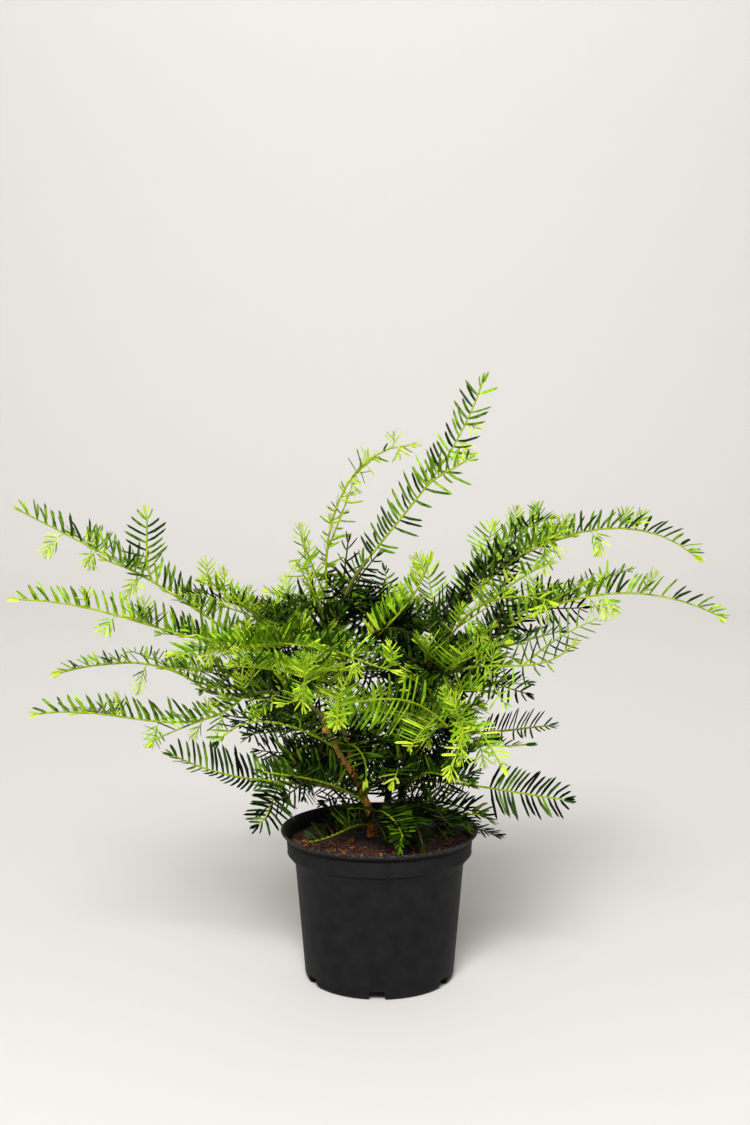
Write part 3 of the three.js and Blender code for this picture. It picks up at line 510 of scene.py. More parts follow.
def pot_plastic():
    """Moulded polypropylene with carbon black: satin charcoal, worn greyer at the lip and lighter there as a
    painted highlight, and darkened inside by painted shade.
    """
    material, tree, shader, place = start_material("moulded_polypropylene", Specular_IOR_Level=0.08)
    mottle_size, scuff_size, grain_size = 14, 2.2, 0.6
    worn_and_highlit_from = 138
    painted_shade_from, painted_shade_full = -10, -30
    mottle = add_node(tree, "ShaderNodeTexNoise", {"Scale": per_mm(mottle_size), "Detail": 6.0},
                      {"Vector": place})
    base = add_node(tree, "ShaderNodeValToRGB", {"ramp": [(0.3, "#161617"), (0.7, "#1f1f20")]},
                    {"Fac": mottle.outputs["Fac"]})
    height = add_node(tree, "ShaderNodeSeparateXYZ", {}, {"Vector": place}).outputs["Z"]
    lip = add_node(tree, "ShaderNodeMapRange", {"From Min": worn_and_highlit_from * MM, "From Max": POT_HEIGHT * MM},
                   {"Value": height})
    scuff = add_node(tree, "ShaderNodeTexNoise",
                     {"Scale": per_mm(scuff_size), "Detail": 8.0, "Roughness": 0.7}, {"Vector": place})
    scuffed = add_node(tree, "ShaderNodeMapRange", {"From Min": 0.45, "From Max": 0.75},
                       {"Value": scuff.outputs["Fac"]})
    share = add_node(tree, "ShaderNodeMath", {"operation": "MULTIPLY"},
                     {0: lip.outputs["Result"], 1: scuffed.outputs["Result"]})
    # Painted highlight on the lip: scuffed patches are lightened at the top, partly real wear and partly
    # light that catches the lip.
    worn_and_highlit = add_node(tree, "ShaderNodeMix", {"data_type": "RGBA", 7: colour("#5c5d5f")},
                      {0: share.outputs["Value"], 6: base.outputs["Color"]})
    # Painted shade: the inner wall turns near-black, where the pot's own shade falls inside it.
    normal = add_node(tree, "ShaderNodeTexCoord").outputs["Normal"]
    outwards = add_node(tree, "ShaderNodeVectorMath", {"operation": "DOT_PRODUCT"}, {0: place, 1: normal})
    inside = add_node(tree, "ShaderNodeMapRange",
                      {"From Min": painted_shade_from * MM, "From Max": painted_shade_full * MM},
                      {"Value": outwards.outputs["Value"]})
    painted_shade = add_node(tree, "ShaderNodeMix", {"data_type": "RGBA", 7: colour("#0b0908")},
                      {0: inside.outputs["Result"], 6: worn_and_highlit.outputs[2]})
    tree.links.new(painted_shade.outputs[2], shader.inputs["Base Color"])
    roughen(tree, shader, scuff.outputs["Fac"], 0.5, 0.7)
    grain = add_node(tree, "ShaderNodeTexNoise", {"Scale": per_mm(grain_size), "Detail": 3.0},
                     {"Vector": place})
    bump = add_node(tree, "ShaderNodeBump", {"Strength": 0.12, "Distance": 0.1 * MM},
                    {"Height": grain.outputs["Fac"]})
    tree.links.new(bump.outputs["Normal"], shader.inputs["Normal"])
    return material


def mottled(name, ramp, size, rough, grain, depth, stretch=(1, 1, 1), **sockets):
    """A surface whose colours run through a ramp by a noise of one size, roughened by a finer grain."""
    material, tree, shader, place = start_material(name, **sockets)
    spot = add_node(tree, "ShaderNodeMapping", {"Scale": stretch}, {"Vector": place}).outputs["Vector"]
    patch = add_node(tree, "ShaderNodeTexNoise", {"Scale": per_mm(size), "Detail": 6.0, "Roughness": 0.6},
                     {"Vector": spot})
    base = add_node(tree, "ShaderNodeValToRGB", {"ramp": ramp}, {"Fac": patch.outputs["Fac"]})
    tree.links.new(base.outputs["Color"], shader.inputs["Base Color"])
    fine = add_node(tree, "ShaderNodeTexNoise", {"Scale": per_mm(grain), "Detail": 5.0},
                    {"Vector": spot})
    roughen(tree, shader, fine.outputs["Fac"], *rough)
    bump = add_node(tree, "ShaderNodeBump", {"Strength": 0.6, "Distance": depth * MM},
                    {"Height": fine.outputs["Fac"]})
    tree.links.new(bump.outputs["Normal"], shader.inputs["Normal"])
    return material


def give_way(material, measure, code, gone, full, patch, rag):
    """Turns a surface's colour into another as a measure goes from gone to full, with a ragged edge."""
    tree = material.node_tree
    shader = tree.nodes["Principled BSDF"]
    first = shader.inputs["Base Color"].links[0].from_socket
    place = add_node(tree, "ShaderNodeTexCoord").outputs["Object"]
    patches = add_node(tree, "ShaderNodeTexNoise", {"Scale": per_mm(patch)}, {"Vector": place})
    ragged = add_node(tree, "ShaderNodeMath", {"operation": "MULTIPLY_ADD", 1: rag * MM},
                      {0: patches.outputs["Fac"], 2: measure})
    share = add_node(tree, "ShaderNodeMapRange", {"From Min": gone * MM, "From Max": full * MM},
                     {"Value": ragged.outputs["Value"]})
    mixed = add_node(tree, "ShaderNodeMix", {"data_type": "RGBA", 7: colour(code)},
                     {0: share.outputs["Result"], 6: first})
    tree.links.new(mixed.outputs[2], shader.inputs["Base Color"])


def soil_mix():
    """Moist bark and peat mix: crumbly and red-brown, turned almost black in the middle behind the stems by
    painted shade.
    """
    ramp = [(0.38, "#0c0705"), (0.52, "#32180d"), (0.66, "#6e3b20")]
    material = mottled("bark_and_peat", ramp, size=2.6, rough=(0.85, 1.0), grain=1.2, depth=0.8)
    tree = material.node_tree
    place = add_node(tree, "ShaderNodeTexCoord").outputs["Object"]
    middle = add_node(tree, "ShaderNodeVectorMath", {"operation": "SUBTRACT", 1: SHADED_SOIL_MIDDLE}, {0: place})
    away = add_node(tree, "ShaderNodeVectorMath", {"operation": "LENGTH"}, {0: middle.outputs["Vector"]})
    # Painted shade: the soil turns almost black towards the middle, under the crown and behind the stems.
    give_way(material, away.outputs["Value"], "#0b0604", gone=58, full=46, patch=14, rag=24)
    return material


def chip_wood(name, dark, light):
    """Composted bark chips: split fibres, dull and dry."""
    ramp = [(0.35, dark), (0.65, light)]
    return mottled(name, ramp, size=3, rough=(0.8, 0.95), grain=0.7, depth=0.25)


def shaded_stem_bark():
    """Bark of the stems that stand in the shade of the crown, painted dark brown as their shade."""
    ramp = [(0.3, "#160d07"), (0.5, "#33200f"), (0.7, "#4b3117")]
    return mottled("painted_shade_stem_bark", ramp, size=2.4, rough=(0.8, 0.95), grain=0.8, depth=0.3,
                   stretch=BARK_STRETCH)


def stem_bark():
    """Thin scaly bark: orange-brown plates with darker cracks, olive where young, and darker at the foot as
    painted shade under the crown.
    """
    ramp = [(0.32, "#45200a"), (0.44, "#b26020"), (0.58, "#e0903e"), (0.72, "#f4b868")]
    material = mottled("scaly_bark", ramp, size=2.4, rough=(0.75, 0.95), grain=0.8, depth=0.3,
                       stretch=BARK_STRETCH)
    tree = material.node_tree
    place = add_node(tree, "ShaderNodeTexCoord").outputs["Object"]
    height = add_node(tree, "ShaderNodeSeparateXYZ", {}, {"Vector": place}).outputs["Z"]
    give_way(material, height, "#8c8c34", gone=225, full=270, patch=6, rag=60)
    # Painted shade: the bark turns darker brown towards the foot, where the crown shades it.
    give_way(material, height, "#5c2e14", gone=176, full=158, patch=6, rag=60)
    return material


def bud_scar():
    """Dry orange scales that stay on the stem where a shoot has broken out."""
    ramp = [(0.35, "#dc6c1e"), (0.65, "#ffb25a")]
    return mottled("bud_scales", ramp, size=1.5, rough=(0.7, 0.9), grain=0.8, depth=0.3,
                   stretch=BARK_STRETCH)


def bough_bark():
    """Two-year bark, still green under a thin brown skin."""
    ramp = [(0.3, "#3a4214"), (0.5, "#5d6a20"), (0.7, "#7d6a2c")]
    return mottled("green_brown_bark", ramp, size=3.5, rough=(0.6, 0.8), grain=0.9, depth=0.15)


def shoot_skin(name, dark, light):
    """Smooth ridged skin of this year's shoots, with a slight wax gloss."""
    ramp = [(0.35, dark), (0.65, light)]
    return mottled(name, ramp, size=4, rough=(0.45, 0.65), grain=1.0, depth=0.08, Specular_IOR_Level=0.08)


def needle_skin(tone, dark, light):
    """Leathery needle skin with a thin wax: the tone is dealt out by spray and drifts a little along it."""
    ramp = [(0.35, dark), (0.65, light)]
    wax = 0.04 if tone == "shade" else 0.09
    return mottled(f"waxy_needle_{tone}", ramp, size=9, rough=(0.38, 0.56), grain=0.8, depth=0.05,
                   Specular_IOR_Level=wax)


def deselect():
    """Leaves edit mode and selects nothing."""
    if bpy.context.object and bpy.context.object.mode != "OBJECT":
        bpy.ops.object.mode_set(mode="OBJECT")
    bpy.ops.object.select_all(action="DESELECT")


def finish_piece(piece, name, material, slot, *nodes):
    """Names a finished piece, gives it its material, and ties it to the frame."""
    piece.name = name
    piece.data.name = name
    piece.data.materials.clear()
    piece.data.materials.append(material)
    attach(piece, "root")
    if nodes:
        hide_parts(*nodes)


def apply_modifier(piece, kind, **settings):
    """Adds a modifier with its settings and applies it."""
    modifier = piece.modifiers.new(kind.lower(), kind)
    for setting, value in settings.items():
        setattr(modifier, setting, value)
    bpy.context.view_layer.objects.active = piece
    bpy.ops.object.modifier_apply(modifier=modifier.name)


def ring_body(profile, sides):
    """A closed round body: a filled circle extruded and scaled through its profile's radii and heights."""
    deselect()
    radius, height = profile[0]
    bpy.ops.mesh.primitive_circle_add(
        vertices=sides, radius=radius * MM, fill_type="NGON", location=(0, 0, height * MM))
    piece = bpy.context.object
    bpy.ops.object.transform_apply(location=True)
    bpy.ops.object.mode_set(mode="EDIT")
    for next_radius, next_height in profile[1:]:
        lift = (0, 0, (next_height - height) * MM)
        bpy.ops.mesh.extrude_region_move(TRANSFORM_OT_translate={"value": lift})
        scale = next_radius / radius
        bpy.ops.transform.resize(value=(scale, scale, 1), center_override=(0, 0, next_height * MM))
        radius, height = next_radius, next_height
    bpy.ops.mesh.select_all(action="SELECT")
    bpy.ops.mesh.normals_make_consistent(inside=False)
    bpy.ops.object.mode_set(mode="OBJECT")
    return piece


def body_radius(height):
    """Radius of the pot's outer wall under the band, at a height."""
    return BASE_RADIUS + (BODY_RADIUS - BASE_RADIUS) * height / BODY_TOP


def pot_profile():
    """From the foot disc round the skirt, up the outside, over the lip and down the inside to the floor."""
    inner_floor = FLOOR_RISE + POT_WALL
    skirt = BASE_RADIUS - SKIRT_WIDTH
    edge = POT_HEIGHT - 1
    return [
        (FOOT_DISC_RADIUS, 0), (FOOT_DISC_RADIUS + FLOOR_RISE, FLOOR_RISE), (skirt, FLOOR_RISE),
        (skirt, 0.6), (skirt + 0.6, 0), (BASE_RADIUS - 4.6, 0), (BASE_RADIUS - 2.6, 0.5),
        (BASE_RADIUS - 1.1, 1.7), (BASE_RADIUS - 0.2, 3.4), (body_radius(5), 5), (body_radius(60), 60),
        (BODY_RADIUS, BODY_TOP), (BODY_RADIUS + 0.5, BODY_TOP + 1.4), (BODY_RADIUS + 1.5, 115.4),
        (BODY_RADIUS + 3.1, 117.6), (BODY_RADIUS + 5.0, 119.8), (BAND_FOOT_RADIUS - 0.6, 122.0),
        (BAND_FOOT_RADIUS + 0.2, 122.5), (BAND_FOOT_RADIUS + 0.5, 123.1), (BAND_FOOT_RADIUS + 0.2, 123.9),
        (BAND_RADIUS - 0.2, 136.0), (BAND_RADIUS - 0.7, 136.5), (BAND_RADIUS - 0.7, 137.3),
        (BAND_RADIUS + 0.6, 138.0), (BAND_RADIUS + 2.6, 140.4), (BAND_RADIUS + 3.4, 141.0),
        (BAND_RADIUS + 3.8, 141.9), (LIP_RADIUS - 0.3, edge - 0.8), (LIP_RADIUS, edge),
        (LIP_RADIUS - 0.3, POT_HEIGHT - 0.3), (LIP_RADIUS - 1, POT_HEIGHT),
        (LIP_RADIUS - 1.8, POT_HEIGHT - 0.1), (LIP_RADIUS - 2.3, edge), (BAND_RADIUS - POT_WALL, 136.5),
        (BAND_FOOT_RADIUS - POT_WALL, BAND_FOOT), (BODY_RADIUS - POT_WALL, BODY_TOP - 1),
        (body_radius(inner_floor) - POT_WALL, inner_floor), (FOOT_DISC_RADIUS + FLOOR_RISE, inner_floor),
        (FOOT_DISC_RADIUS, POT_WALL),
    ]


def notch_cutter(heading):
    """A tapered block that cuts one drain notch through the skirt."""
    deselect()
    bpy.ops.mesh.primitive_cube_add(size=1, location=(0, 0, 0))
    cutter = bpy.context.object
    cutter.scale = (3 * SKIRT_WIDTH * MM, NOTCH_WIDTH * MM, 2 * NOTCH_HEIGHT * MM)
    bpy.ops.object.transform_apply(scale=True)
    for vertex in cutter.data.vertices:
        if vertex.co.z > 0:
            vertex.co.y *= NOTCH_TOP_SHARE
    turn = math.radians(heading)
    reach = (BASE_RADIUS - SKIRT_WIDTH / 2) * MM
    cutter.location = (reach * math.cos(turn), reach * math.sin(turn), 0)
    cutter.rotation_euler = (0, 0, turn)
    bpy.ops.object.transform_apply(location=True, rotation=True)
    return cutter


def add_pot():
    """The moulded pot with its band, lip, skirt and drain notches."""
    pot = ring_body(pot_profile(), POT_SIDES)
    for notch in range(NOTCHES):
        cutter = notch_cutter(NOTCH_HEADING + notch * 360 / NOTCHES)
        apply_modifier(pot, "BOOLEAN", operation="DIFFERENCE", object=cutter, solver="EXACT")
        bpy.data.objects.remove(cutter)
    apply_modifier(pot, "BEVEL", width=POT_EDGE * MM, segments=2, limit_method="ANGLE",
                   angle_limit=math.radians(BEVEL_FROM))
    place = [size * MM for size in MOULD_NUB]
    bpy.ops.mesh.primitive_uv_sphere_add(segments=16, ring_count=8, radius=NUB_RADIUS * MM, location=place)
    nub = bpy.context.object
    bpy.ops.object.transform_apply(location=True)
    deselect()
    nub.select_set(True)
    pot.select_set(True)
    bpy.context.view_layer.objects.active = pot
    bpy.ops.object.join()
    pot.select_set(True)
    bpy.context.view_layer.objects.active = pot
    bpy.ops.object.shade_smooth_by_angle(angle=math.radians(POT_CREASE))
    finish_piece(pot, "nursery_pot", pot_plastic(), "pot", "pot")


def soil_height(x, y):
    """The crumbly top of the soil at a place, in mm, a little heaped round the stems."""
    away = (x - HEAP_PLACE[0]) ** 2 + (y - HEAP_PLACE[1]) ** 2
    height = SOIL_TOP - SOIL_SINK + HEAP_HEIGHT * math.exp(-away / HEAP_SPREAD)
    for size, lift, layer in SOIL_CRUMBS:
        height += lift * noise.noise(Vector((x / size, y / size, layer)))
    return height


def add_soil():
    """The root ball's soil: a round body with a crumbled top, level with the flat cut of the stems."""
    rings = [(SOIL_RADIUS * share, SOIL_TOP) for share in np.linspace(*SOIL_RING_SHARES, SOIL_RINGS)]
    soil = ring_body([(SOIL_RADIUS - 1, SOIL_TOP - SOIL_DEPTH), *rings], POT_SIDES)
    for vertex in soil.data.vertices:
        x, y, z = vertex.co / MM
        if z > SOIL_TOP - 1:
            vertex.co.z = soil_height(x, y) * MM
    soil.data.shade_smooth()
    finish_piece(soil, "potting_soil", soil_mix(), "soil", "soil")


def joined_mesh(name, points, faces):
    """One mesh piece from an array of points in millimetres and its faces."""
    mesh = bpy.data.meshes.new(name)
    mesh.from_pydata((points * MM).tolist(), [], faces)
    piece = bpy.data.objects.new(name, mesh)
    bpy.context.scene.collection.objects.link(piece)
    return piece


def add_chips(name, count, seed, lengths, material, across=(0.25, 0.6), from_middle=0, headings=(0, 360)):
    """Bark chips or dry needles strewn flat on the soil, as one piece."""
    deal = np.random.RandomState(seed)
    block = np.array([[x, y, z] for x in (-1, 1) for y in (-1, 1) for z in (-1, 1)], float) / 2
    sides = [(0, 1, 3, 2), (4, 6, 7, 5), (0, 4, 5, 1), (2, 3, 7, 6), (0, 2, 6, 4), (1, 5, 7, 3)]
    points, faces = [], []
    for chip in range(count):
        length = deal.uniform(*lengths)
        wide = length * deal.uniform(*across)
        size = np.array([length, wide, wide * deal.uniform(*CHIP_THICKNESS)])
        shape = block * size * deal.uniform(*CHIP_KNOCKS, (8, 3))
        turn, tip = deal.uniform(0, 2 * math.pi), deal.normal(0, CHIP_TILT)
        along = np.array([math.cos(turn) * math.cos(tip), math.sin(turn) * math.cos(tip), math.sin(tip)])
        beside = unit(np.cross([0, 0, 1], along) + [0, 0, deal.normal(0, CHIP_TILT)])
        turned = np.array([along, beside, np.cross(along, beside)])
        reach = CHIP_REACH * math.sqrt(deal.uniform(from_middle ** 2, 1))
        heading = math.radians(deal.uniform(*headings))
        x, y = reach * math.cos(heading), reach * math.sin(heading)
        faces += [[corner + 8 * chip for corner in side] for side in sides]
        points.append(shape @ turned + [x, y, soil_height(x, y) + size[2] * CHIP_REST])
    piece = joined_mesh(name, np.concatenate(points), faces)
    finish_piece(piece, name, material, "soil")


def unit(vectors):
    """Vectors at length 1."""
    vectors = np.asarray(vectors, float)
    return vectors / np.linalg.norm(vectors, axis=-1, keepdims=True)


def direction(heading, rise):
    """A unit vector at a heading, 0 being +X and 90 +Y, and a rise above level, in degrees."""
    turn, climb = math.radians(heading), math.radians(rise)
    return np.array([math.cos(climb) * math.cos(turn), math.cos(climb) * math.sin(turn), math.sin(climb)])


def between(first, second, degrees):
    """Directions from first towards second, which is square to it, by an angle."""
    angle = np.radians(np.asarray(degrees, float))[..., None]
    return first * np.cos(angle) + second * np.sin(angle)


class Line:
    """A cubic curve that leaves a foot and arrives at a tip, read by shares of its length."""

    def __init__(self, foot, leave, tip, arrive):
        foot, tip = np.asarray(foot, float), np.asarray(tip, float)
        handle = LINE_HANDLE * np.linalg.norm(tip - foot)
        self.points = np.array([foot, foot + handle * leave, tip - handle * arrive, tip])
        self.steps = np.linspace(0, 1, LINE_STEPS + 1)
        legs = np.linalg.norm(np.diff(self.spot(self.steps), axis=0), axis=1)
        run = np.concatenate([[0], np.cumsum(legs)])
        self.length = run[-1]
        self.shares = run / self.length

    def spot(self, step):
        """The point at a step of the curve."""
        t = np.asarray(step, float)[..., None]
        a, b, c, d = self.points
        return (1 - t) ** 3 * a + 3 * (1 - t) ** 2 * t * b + 3 * (1 - t) * t ** 2 * c + t ** 3 * d

    def at(self, share):
        """The point at a share of the length."""
        return self.spot(np.interp(share, self.shares, self.steps))

    def along(self, share):
        """The direction at a share of the length."""
        t = np.interp(share, self.shares, self.steps)[..., None]
        a, b, c, d = self.points
        return unit((1 - t) ** 2 * (b - a) + 2 * (1 - t) * t * (c - b) + t ** 2 * (d - c))

    def frames(self, share, roll=0):
        """Places, directions, sides and upper sides at shares of the length."""
        along = self.along(share)
        chord = self.points[3] - self.points[0]
        steep = abs(chord[2]) > STEEP * np.linalg.norm(chord)
        level = np.array([0, -1, 0]) if steep else np.array([0, 0, 1])
        side = unit(np.cross(along, level))
        up = np.cross(side, along)
        return self.at(share), along, between(side, -up, roll), between(up, side, roll)


def dealer(seed):
    """A repeatable stream of numbers from 0 to 1."""
    state = seed
    while True:
        state = (state * 1664525 + 1013904223) % 4294967296
        yield state / 4294967296


def lerp(pair, share):
    """The value at a share of the way from the first of a pair to the second."""
    return pair[0] + (pair[1] - pair[0]) * share


def grow_limbs():
    """The lines of all stems and boughs, by name, with their radii."""
    limbs = {}
    for row in STEMS + BOUGHS:
        parent = limbs.get(row.get("on"))
        foot = parent["line"].at(row["at"]) if parent else (*row["foot"], SOIL_TOP + GAP)
        leave = direction(*row.get("leave", UPRIGHT))
        line = Line(foot, leave, row["tip"], direction(*row["arrive"]))
        limbs[row["name"]] = dict(line=line, radii=row.get("radii", BOUGH_RADII), on_soil=not parent)
    return limbs


def tube_piece(tubes, resolution, roundness):
    """Round tapering tubes as one mesh: each is a curve's two ends with their handles and radii in mm."""
    deselect()
    bpy.ops.curve.primitive_bezier_curve_add()
    piece = bpy.context.object
    bpy.ops.object.mode_set(mode="OBJECT")
    curve = piece.data
    curve.splines.clear()
    curve.bevel_depth = MM
    curve.bevel_resolution = roundness
    curve.use_fill_caps = True
    curve.resolution_u = resolution
    for line, radii in tubes:
        spline = curve.splines.new("BEZIER")
        spline.bezier_points.add(1)
        ends = ((0, 1, 0, radii[0]), (3, 2, 3, radii[1]))
        for point, (place, inner, outer, radius) in zip(spline.bezier_points, ends):
            point.handle_left_type = point.handle_right_type = "FREE"
            point.co = line.points[place] * MM
            point.handle_left = line.points[inner if place else outer] * MM
            point.handle_right = line.points[outer if place else inner] * MM
            point.radius = radius
    piece.location = (0, 0, 0)
    bpy.ops.object.convert(target="MESH")
    return bpy.context.object


def roughen_bark(piece, grain, depth, stretch):
    """Moves the skin in and out by a noise drawn out along the stems, as scaly bark lifts."""
    for vertex in piece.data.vertices:
        x, y, z = vertex.co / MM
        spot = Vector((x / grain, y / grain, z / (grain * stretch)))
        vertex.co += vertex.normal * noise.fractal(spot, *BARK_NOISE) * depth * MM


def flare_feet(piece, limbs):
    """Widens the stems' feet where they meet the soil."""
    feet = np.array([limb["line"].points[0] for limb in limbs.values() if limb["on_soil"]])
    for vertex in piece.data.vertices:
        spot = np.array(vertex.co) / MM
        rise = spot[2] - SOIL_TOP - GAP
        if rise < 4 * FLARE_HEIGHT:
            foot = feet[np.argmin(np.linalg.norm(feet[:, :2] - spot[:2], axis=1))]
            grow = ROOT_FLARE * math.exp(-max(rise, 0) / FLARE_HEIGHT)
            vertex.co.x += (spot[0] - foot[0]) * grow * MM
            vertex.co.y += (spot[1] - foot[1]) * grow * MM


def add_limbs(limbs):
    """Stems and boughs with their bark's relief."""
    bright = {name: limbs[name] for name in ("stem_front", "stem_middle")}
    # The stems inside the crown get a bark painted dark as their shade; the front stems keep the bark's own
    # colour.
    shaded = {name: limbs[name] for name in ("stem_leader", "stem_right", "stem_back")}
    boughs = {name: limb for name, limb in limbs.items() if name.startswith("bough")}
    for name, group, resolution, roundness, relief, material, slot in (
            ("bark_stems_front", bright, 170, 10, dict(grain=1.9, depth=0.6, stretch=2.5), stem_bark(),
             "bark"),
            ("bark_stems_inner", shaded, 170, 10, dict(grain=1.7, depth=0.42, stretch=3.5), shaded_stem_bark(),
             "bark"),
            ("green_boughs", boughs, 64, 6, dict(grain=2.2, depth=0.22, stretch=1), bough_bark(),
             "green_bark")):
        piece = tube_piece([(limb["line"], limb["radii"]) for limb in group.values()], resolution, roundness)
        if slot == "bark":
            flare_feet(piece, group)
        roughen_bark(piece, **relief)
        piece.data.shade_smooth()
        finish_piece(piece, name, material, slot, *group)
    add_bud_scars(limbs["stem_front"])


def add_bud_scars(stem):
    """Small clusters of bud scales on alternate sides of the front stem, facing the front."""
    deselect()
    parts = []
    for index, share in enumerate(BUD_SCAR_SHARES):
        radius = lerp(stem["radii"], share)
        hand = -1 if index % 2 else 1
        place = stem["line"].at(share) + [hand * radius, -radius, 0]
        bpy.ops.mesh.primitive_ico_sphere_add(subdivisions=3, radius=MM, location=place * MM)
        knob = bpy.context.object
        knob.scale = BUD_SCAR_SIZE
        knob.rotation_euler = (BUD_SCAR_LEAN[0], BUD_SCAR_LEAN[1] * hand, 0)
        parts.append(knob)
    for knob in parts:
        knob.select_set(True)
    bpy.ops.object.join()
    bpy.ops.object.transform_apply()
    piece = bpy.context.object
    roughen_bark(piece, grain=1.1, depth=0.5, stretch=1)
    piece.data.shade_smooth()
    finish_piece(piece, "bud_scars", bud_scar(), "bark", "stem_front")


def habit_of(row):
    """What sets a row's needles apart: its own habit, or that of the mass that it names."""
    return dict(PLAIN_HABIT, **row.get("habit", HABIT.get(row.get("name"), {})))


class Foliage:
    """Collects shoots and needles while the plant grows, and makes them into joined pieces."""

    def __init__(self):
        self.shoots = {"young": [], "woody": [], "fresh": []}
        self.needles = {tone: [] for tone in TONES}

    def add_shoot(self, line, style, row, skin, tone, deal, bare=BARE_FOOT):
        """One shoot with its two ranks of needles and a bud of small ones at its tip."""
        self.shoots[skin].append((line, style["radii"]))
        self.add_ranks(line, style, row, tone, deal, bare)
        ends = np.full(BUD_NEEDLES, 1 - BUD_BACK / line.length)
        around = (np.tile([1.0, -1.0], BUD_NEEDLES // 2), deal.uniform(-90, 90, BUD_NEEDLES),
                  deal.uniform(*BUD_SWEEP, BUD_NEEDLES),
                  style["reach"] * deal.uniform(*BUD_REACH, BUD_NEEDLES))
        self.add_needles(line, ends, row, style, tone + (tone > 1), deal, around)

    def add_ranks(self, line, style, row, tone, deal, bare):
        """Two ranks of needles, lifted, swept and shortened as their shoot's kind and row say."""
        clear = line.length - bare - BARE_TIP
        habit = habit_of(row)
        first, last = np.array(style["pitch"]) * habit["pitch"]
        count = max(2, int(clear / (last - first) * math.log(last / first)))
        pairs = np.repeat(np.arange(count), 2)
        hand = np.tile([1.0, -1.0], count)
        step = (pairs + 0.5 + hand * PAIR_OFFSET + deal.normal(0, STEP_JITTER, pairs.size)) / count
        share = ((last / first) ** step - 1) / (last / first - 1)
        run = np.clip(bare + share * clear, 0, line.length)
        kept = deal.uniform(size=run.size) < NEEDLES_KEPT * np.where(hand > 0, habit["right"], 1)
        run, hand, pairs = run[kept], hand[kept], pairs[kept]
        share = run / line.length
        near_tip = np.clip((line.length - run) / style["bud"], 0, 1)
        fan = row.get("fan", 0) * np.where(pairs % 2, 1, -1)
        rise = row["lift"] * style["lift_share"] + fan + deal.normal(0, LIFT_JITTER, run.size)
        sweep = lerp(style["sweep"], share ** 2) - TIP_SWEEP * (1 - near_tip)
        sweep += deal.normal(0, SWEEP_JITTER, run.size)
        swell = REACH_END + REACH_SWELL * np.sin(math.pi * share ** REACH_SKEW)
        length = style["reach"] * swell * (0.5 + 0.5 * near_tip) * deal.uniform(*REACH_SPREAD, run.size)
        length *= habit["reach"]
        self.add_needles(line, share, row, style, tone, deal, (hand, rise, sweep, length))

    def add_needles(self, line, share, row, style, tone, deal, pose):
        """Needles at shares of a line, each with its hand, rise, sweep and length, dealt tones by spray."""
        hand, rise, sweep, length = pose
        count = share.size
        place, along, side, up = line.frames(share, row.get("roll", 0))
        out = between(side * hand[:, None], up, rise)
        aim = between(along, out, sweep)
        forward = unit(along - aim * np.sum(along * aim, axis=1, keepdims=True))
        face = np.cross(forward, aim) * hand[:, None]
        twist = deal.normal(0, NEEDLE_TWIST, count)
        across, face = between(forward, face, twist), between(face, -forward, twist)
        slim = np.clip(length / FULL_NEEDLE, NARROWEST, 1)
        width = style["width"] * deal.uniform(*NEEDLE_WIDTHS, count) * slim
        width *= habit_of(row)["width"]
        sheet = np.column_stack([place + out * NEEDLE_ROOT, aim, across, face, length, width,
                                 deal.normal(*NEEDLE_BEND, count), deal.normal(*NEEDLE_SAG, count)])
        spray = (share * line.length / SPRAY_LENGTH).astype(int)
        drift = deal.choice([-1, 0, 0, 0, 1], spray.max() + 1)[spray]
        drift = drift + deal.choice([-1, 0, 0, 0, 0, 0, 1], count)
        drift = np.clip(drift, -1, 1) + (tone > 1) * (share * line.length > line.length - BRIGHT_TIP)
        level = np.clip(tone + drift, 0, len(TONES) - 1)
        for index, name in enumerate(TONES):
            self.needles[name].append(sheet[level == index])

    def add_sprig(self, line, share, aim, length, deal):
        """A short fresh side shoot with small needles all round it."""
        tip = line.at(share) + aim * length
        arrive = unit(aim + deal.normal(0, SPRIG_CURVE, 3))
        twig = Line(line.at(share), unit(aim + line.along(share) * SPRIG_LEAVE), tip, arrive)
        row = dict(SPRIG_ROW, roll=deal.uniform(-90, 90))
        self.add_shoot(twig, SPRIG, row, "fresh", ROW_TONE["fresh"], deal, bare=min(BARE_FOOT, length / 4))

    def build(self, nodes):
        """Makes the shoots and the needles into pieces that stand for the masses of foliage."""
        skins = {
            "young": ("young_shoots", "needles_middle", 12, "#7a9a12", "#aebf28"),
            "woody": ("woody_twigs", "green_bark", 10, "#2f3212", "#4f4620"),
            "fresh": ("fresh_sprigs", "needles_fresh", 5, "#8fb818", "#bcd832"),
        }
        for skin, (name, slot, resolution, dark, light) in skins.items():
            piece = tube_piece(self.shoots[skin], resolution, 1)
            piece.data.shade_smooth()
            finish_piece(piece, name, shoot_skin(f"{skin}_shoot_skin", dark, light), slot, *nodes)
        slots = ["needles_dark", "needles_dark", "needles_middle", "needles_fresh", "needles_fresh"]
        for tone, slot in zip(TONES, slots):
            material = needle_skin(tone, *NEEDLE_COLOURS[tone])
            rows = np.concatenate(self.needles[tone])
            halfway, ends = (rows[:, :3] + rows[:, 3:6] * rows[:, 12:13] * part for part in (0.5, 1))
            rows = rows[~(in_pot_wall(*halfway.T) | in_pot_wall(*ends.T))]
            for part, start in enumerate(range(0, len(rows), PIECE_NEEDLES)):
                piece = needle_piece(rows[start:start + PIECE_NEEDLES])
                finish_piece(piece, f"needles_{tone}_{part + 1}", material, slot, *nodes)


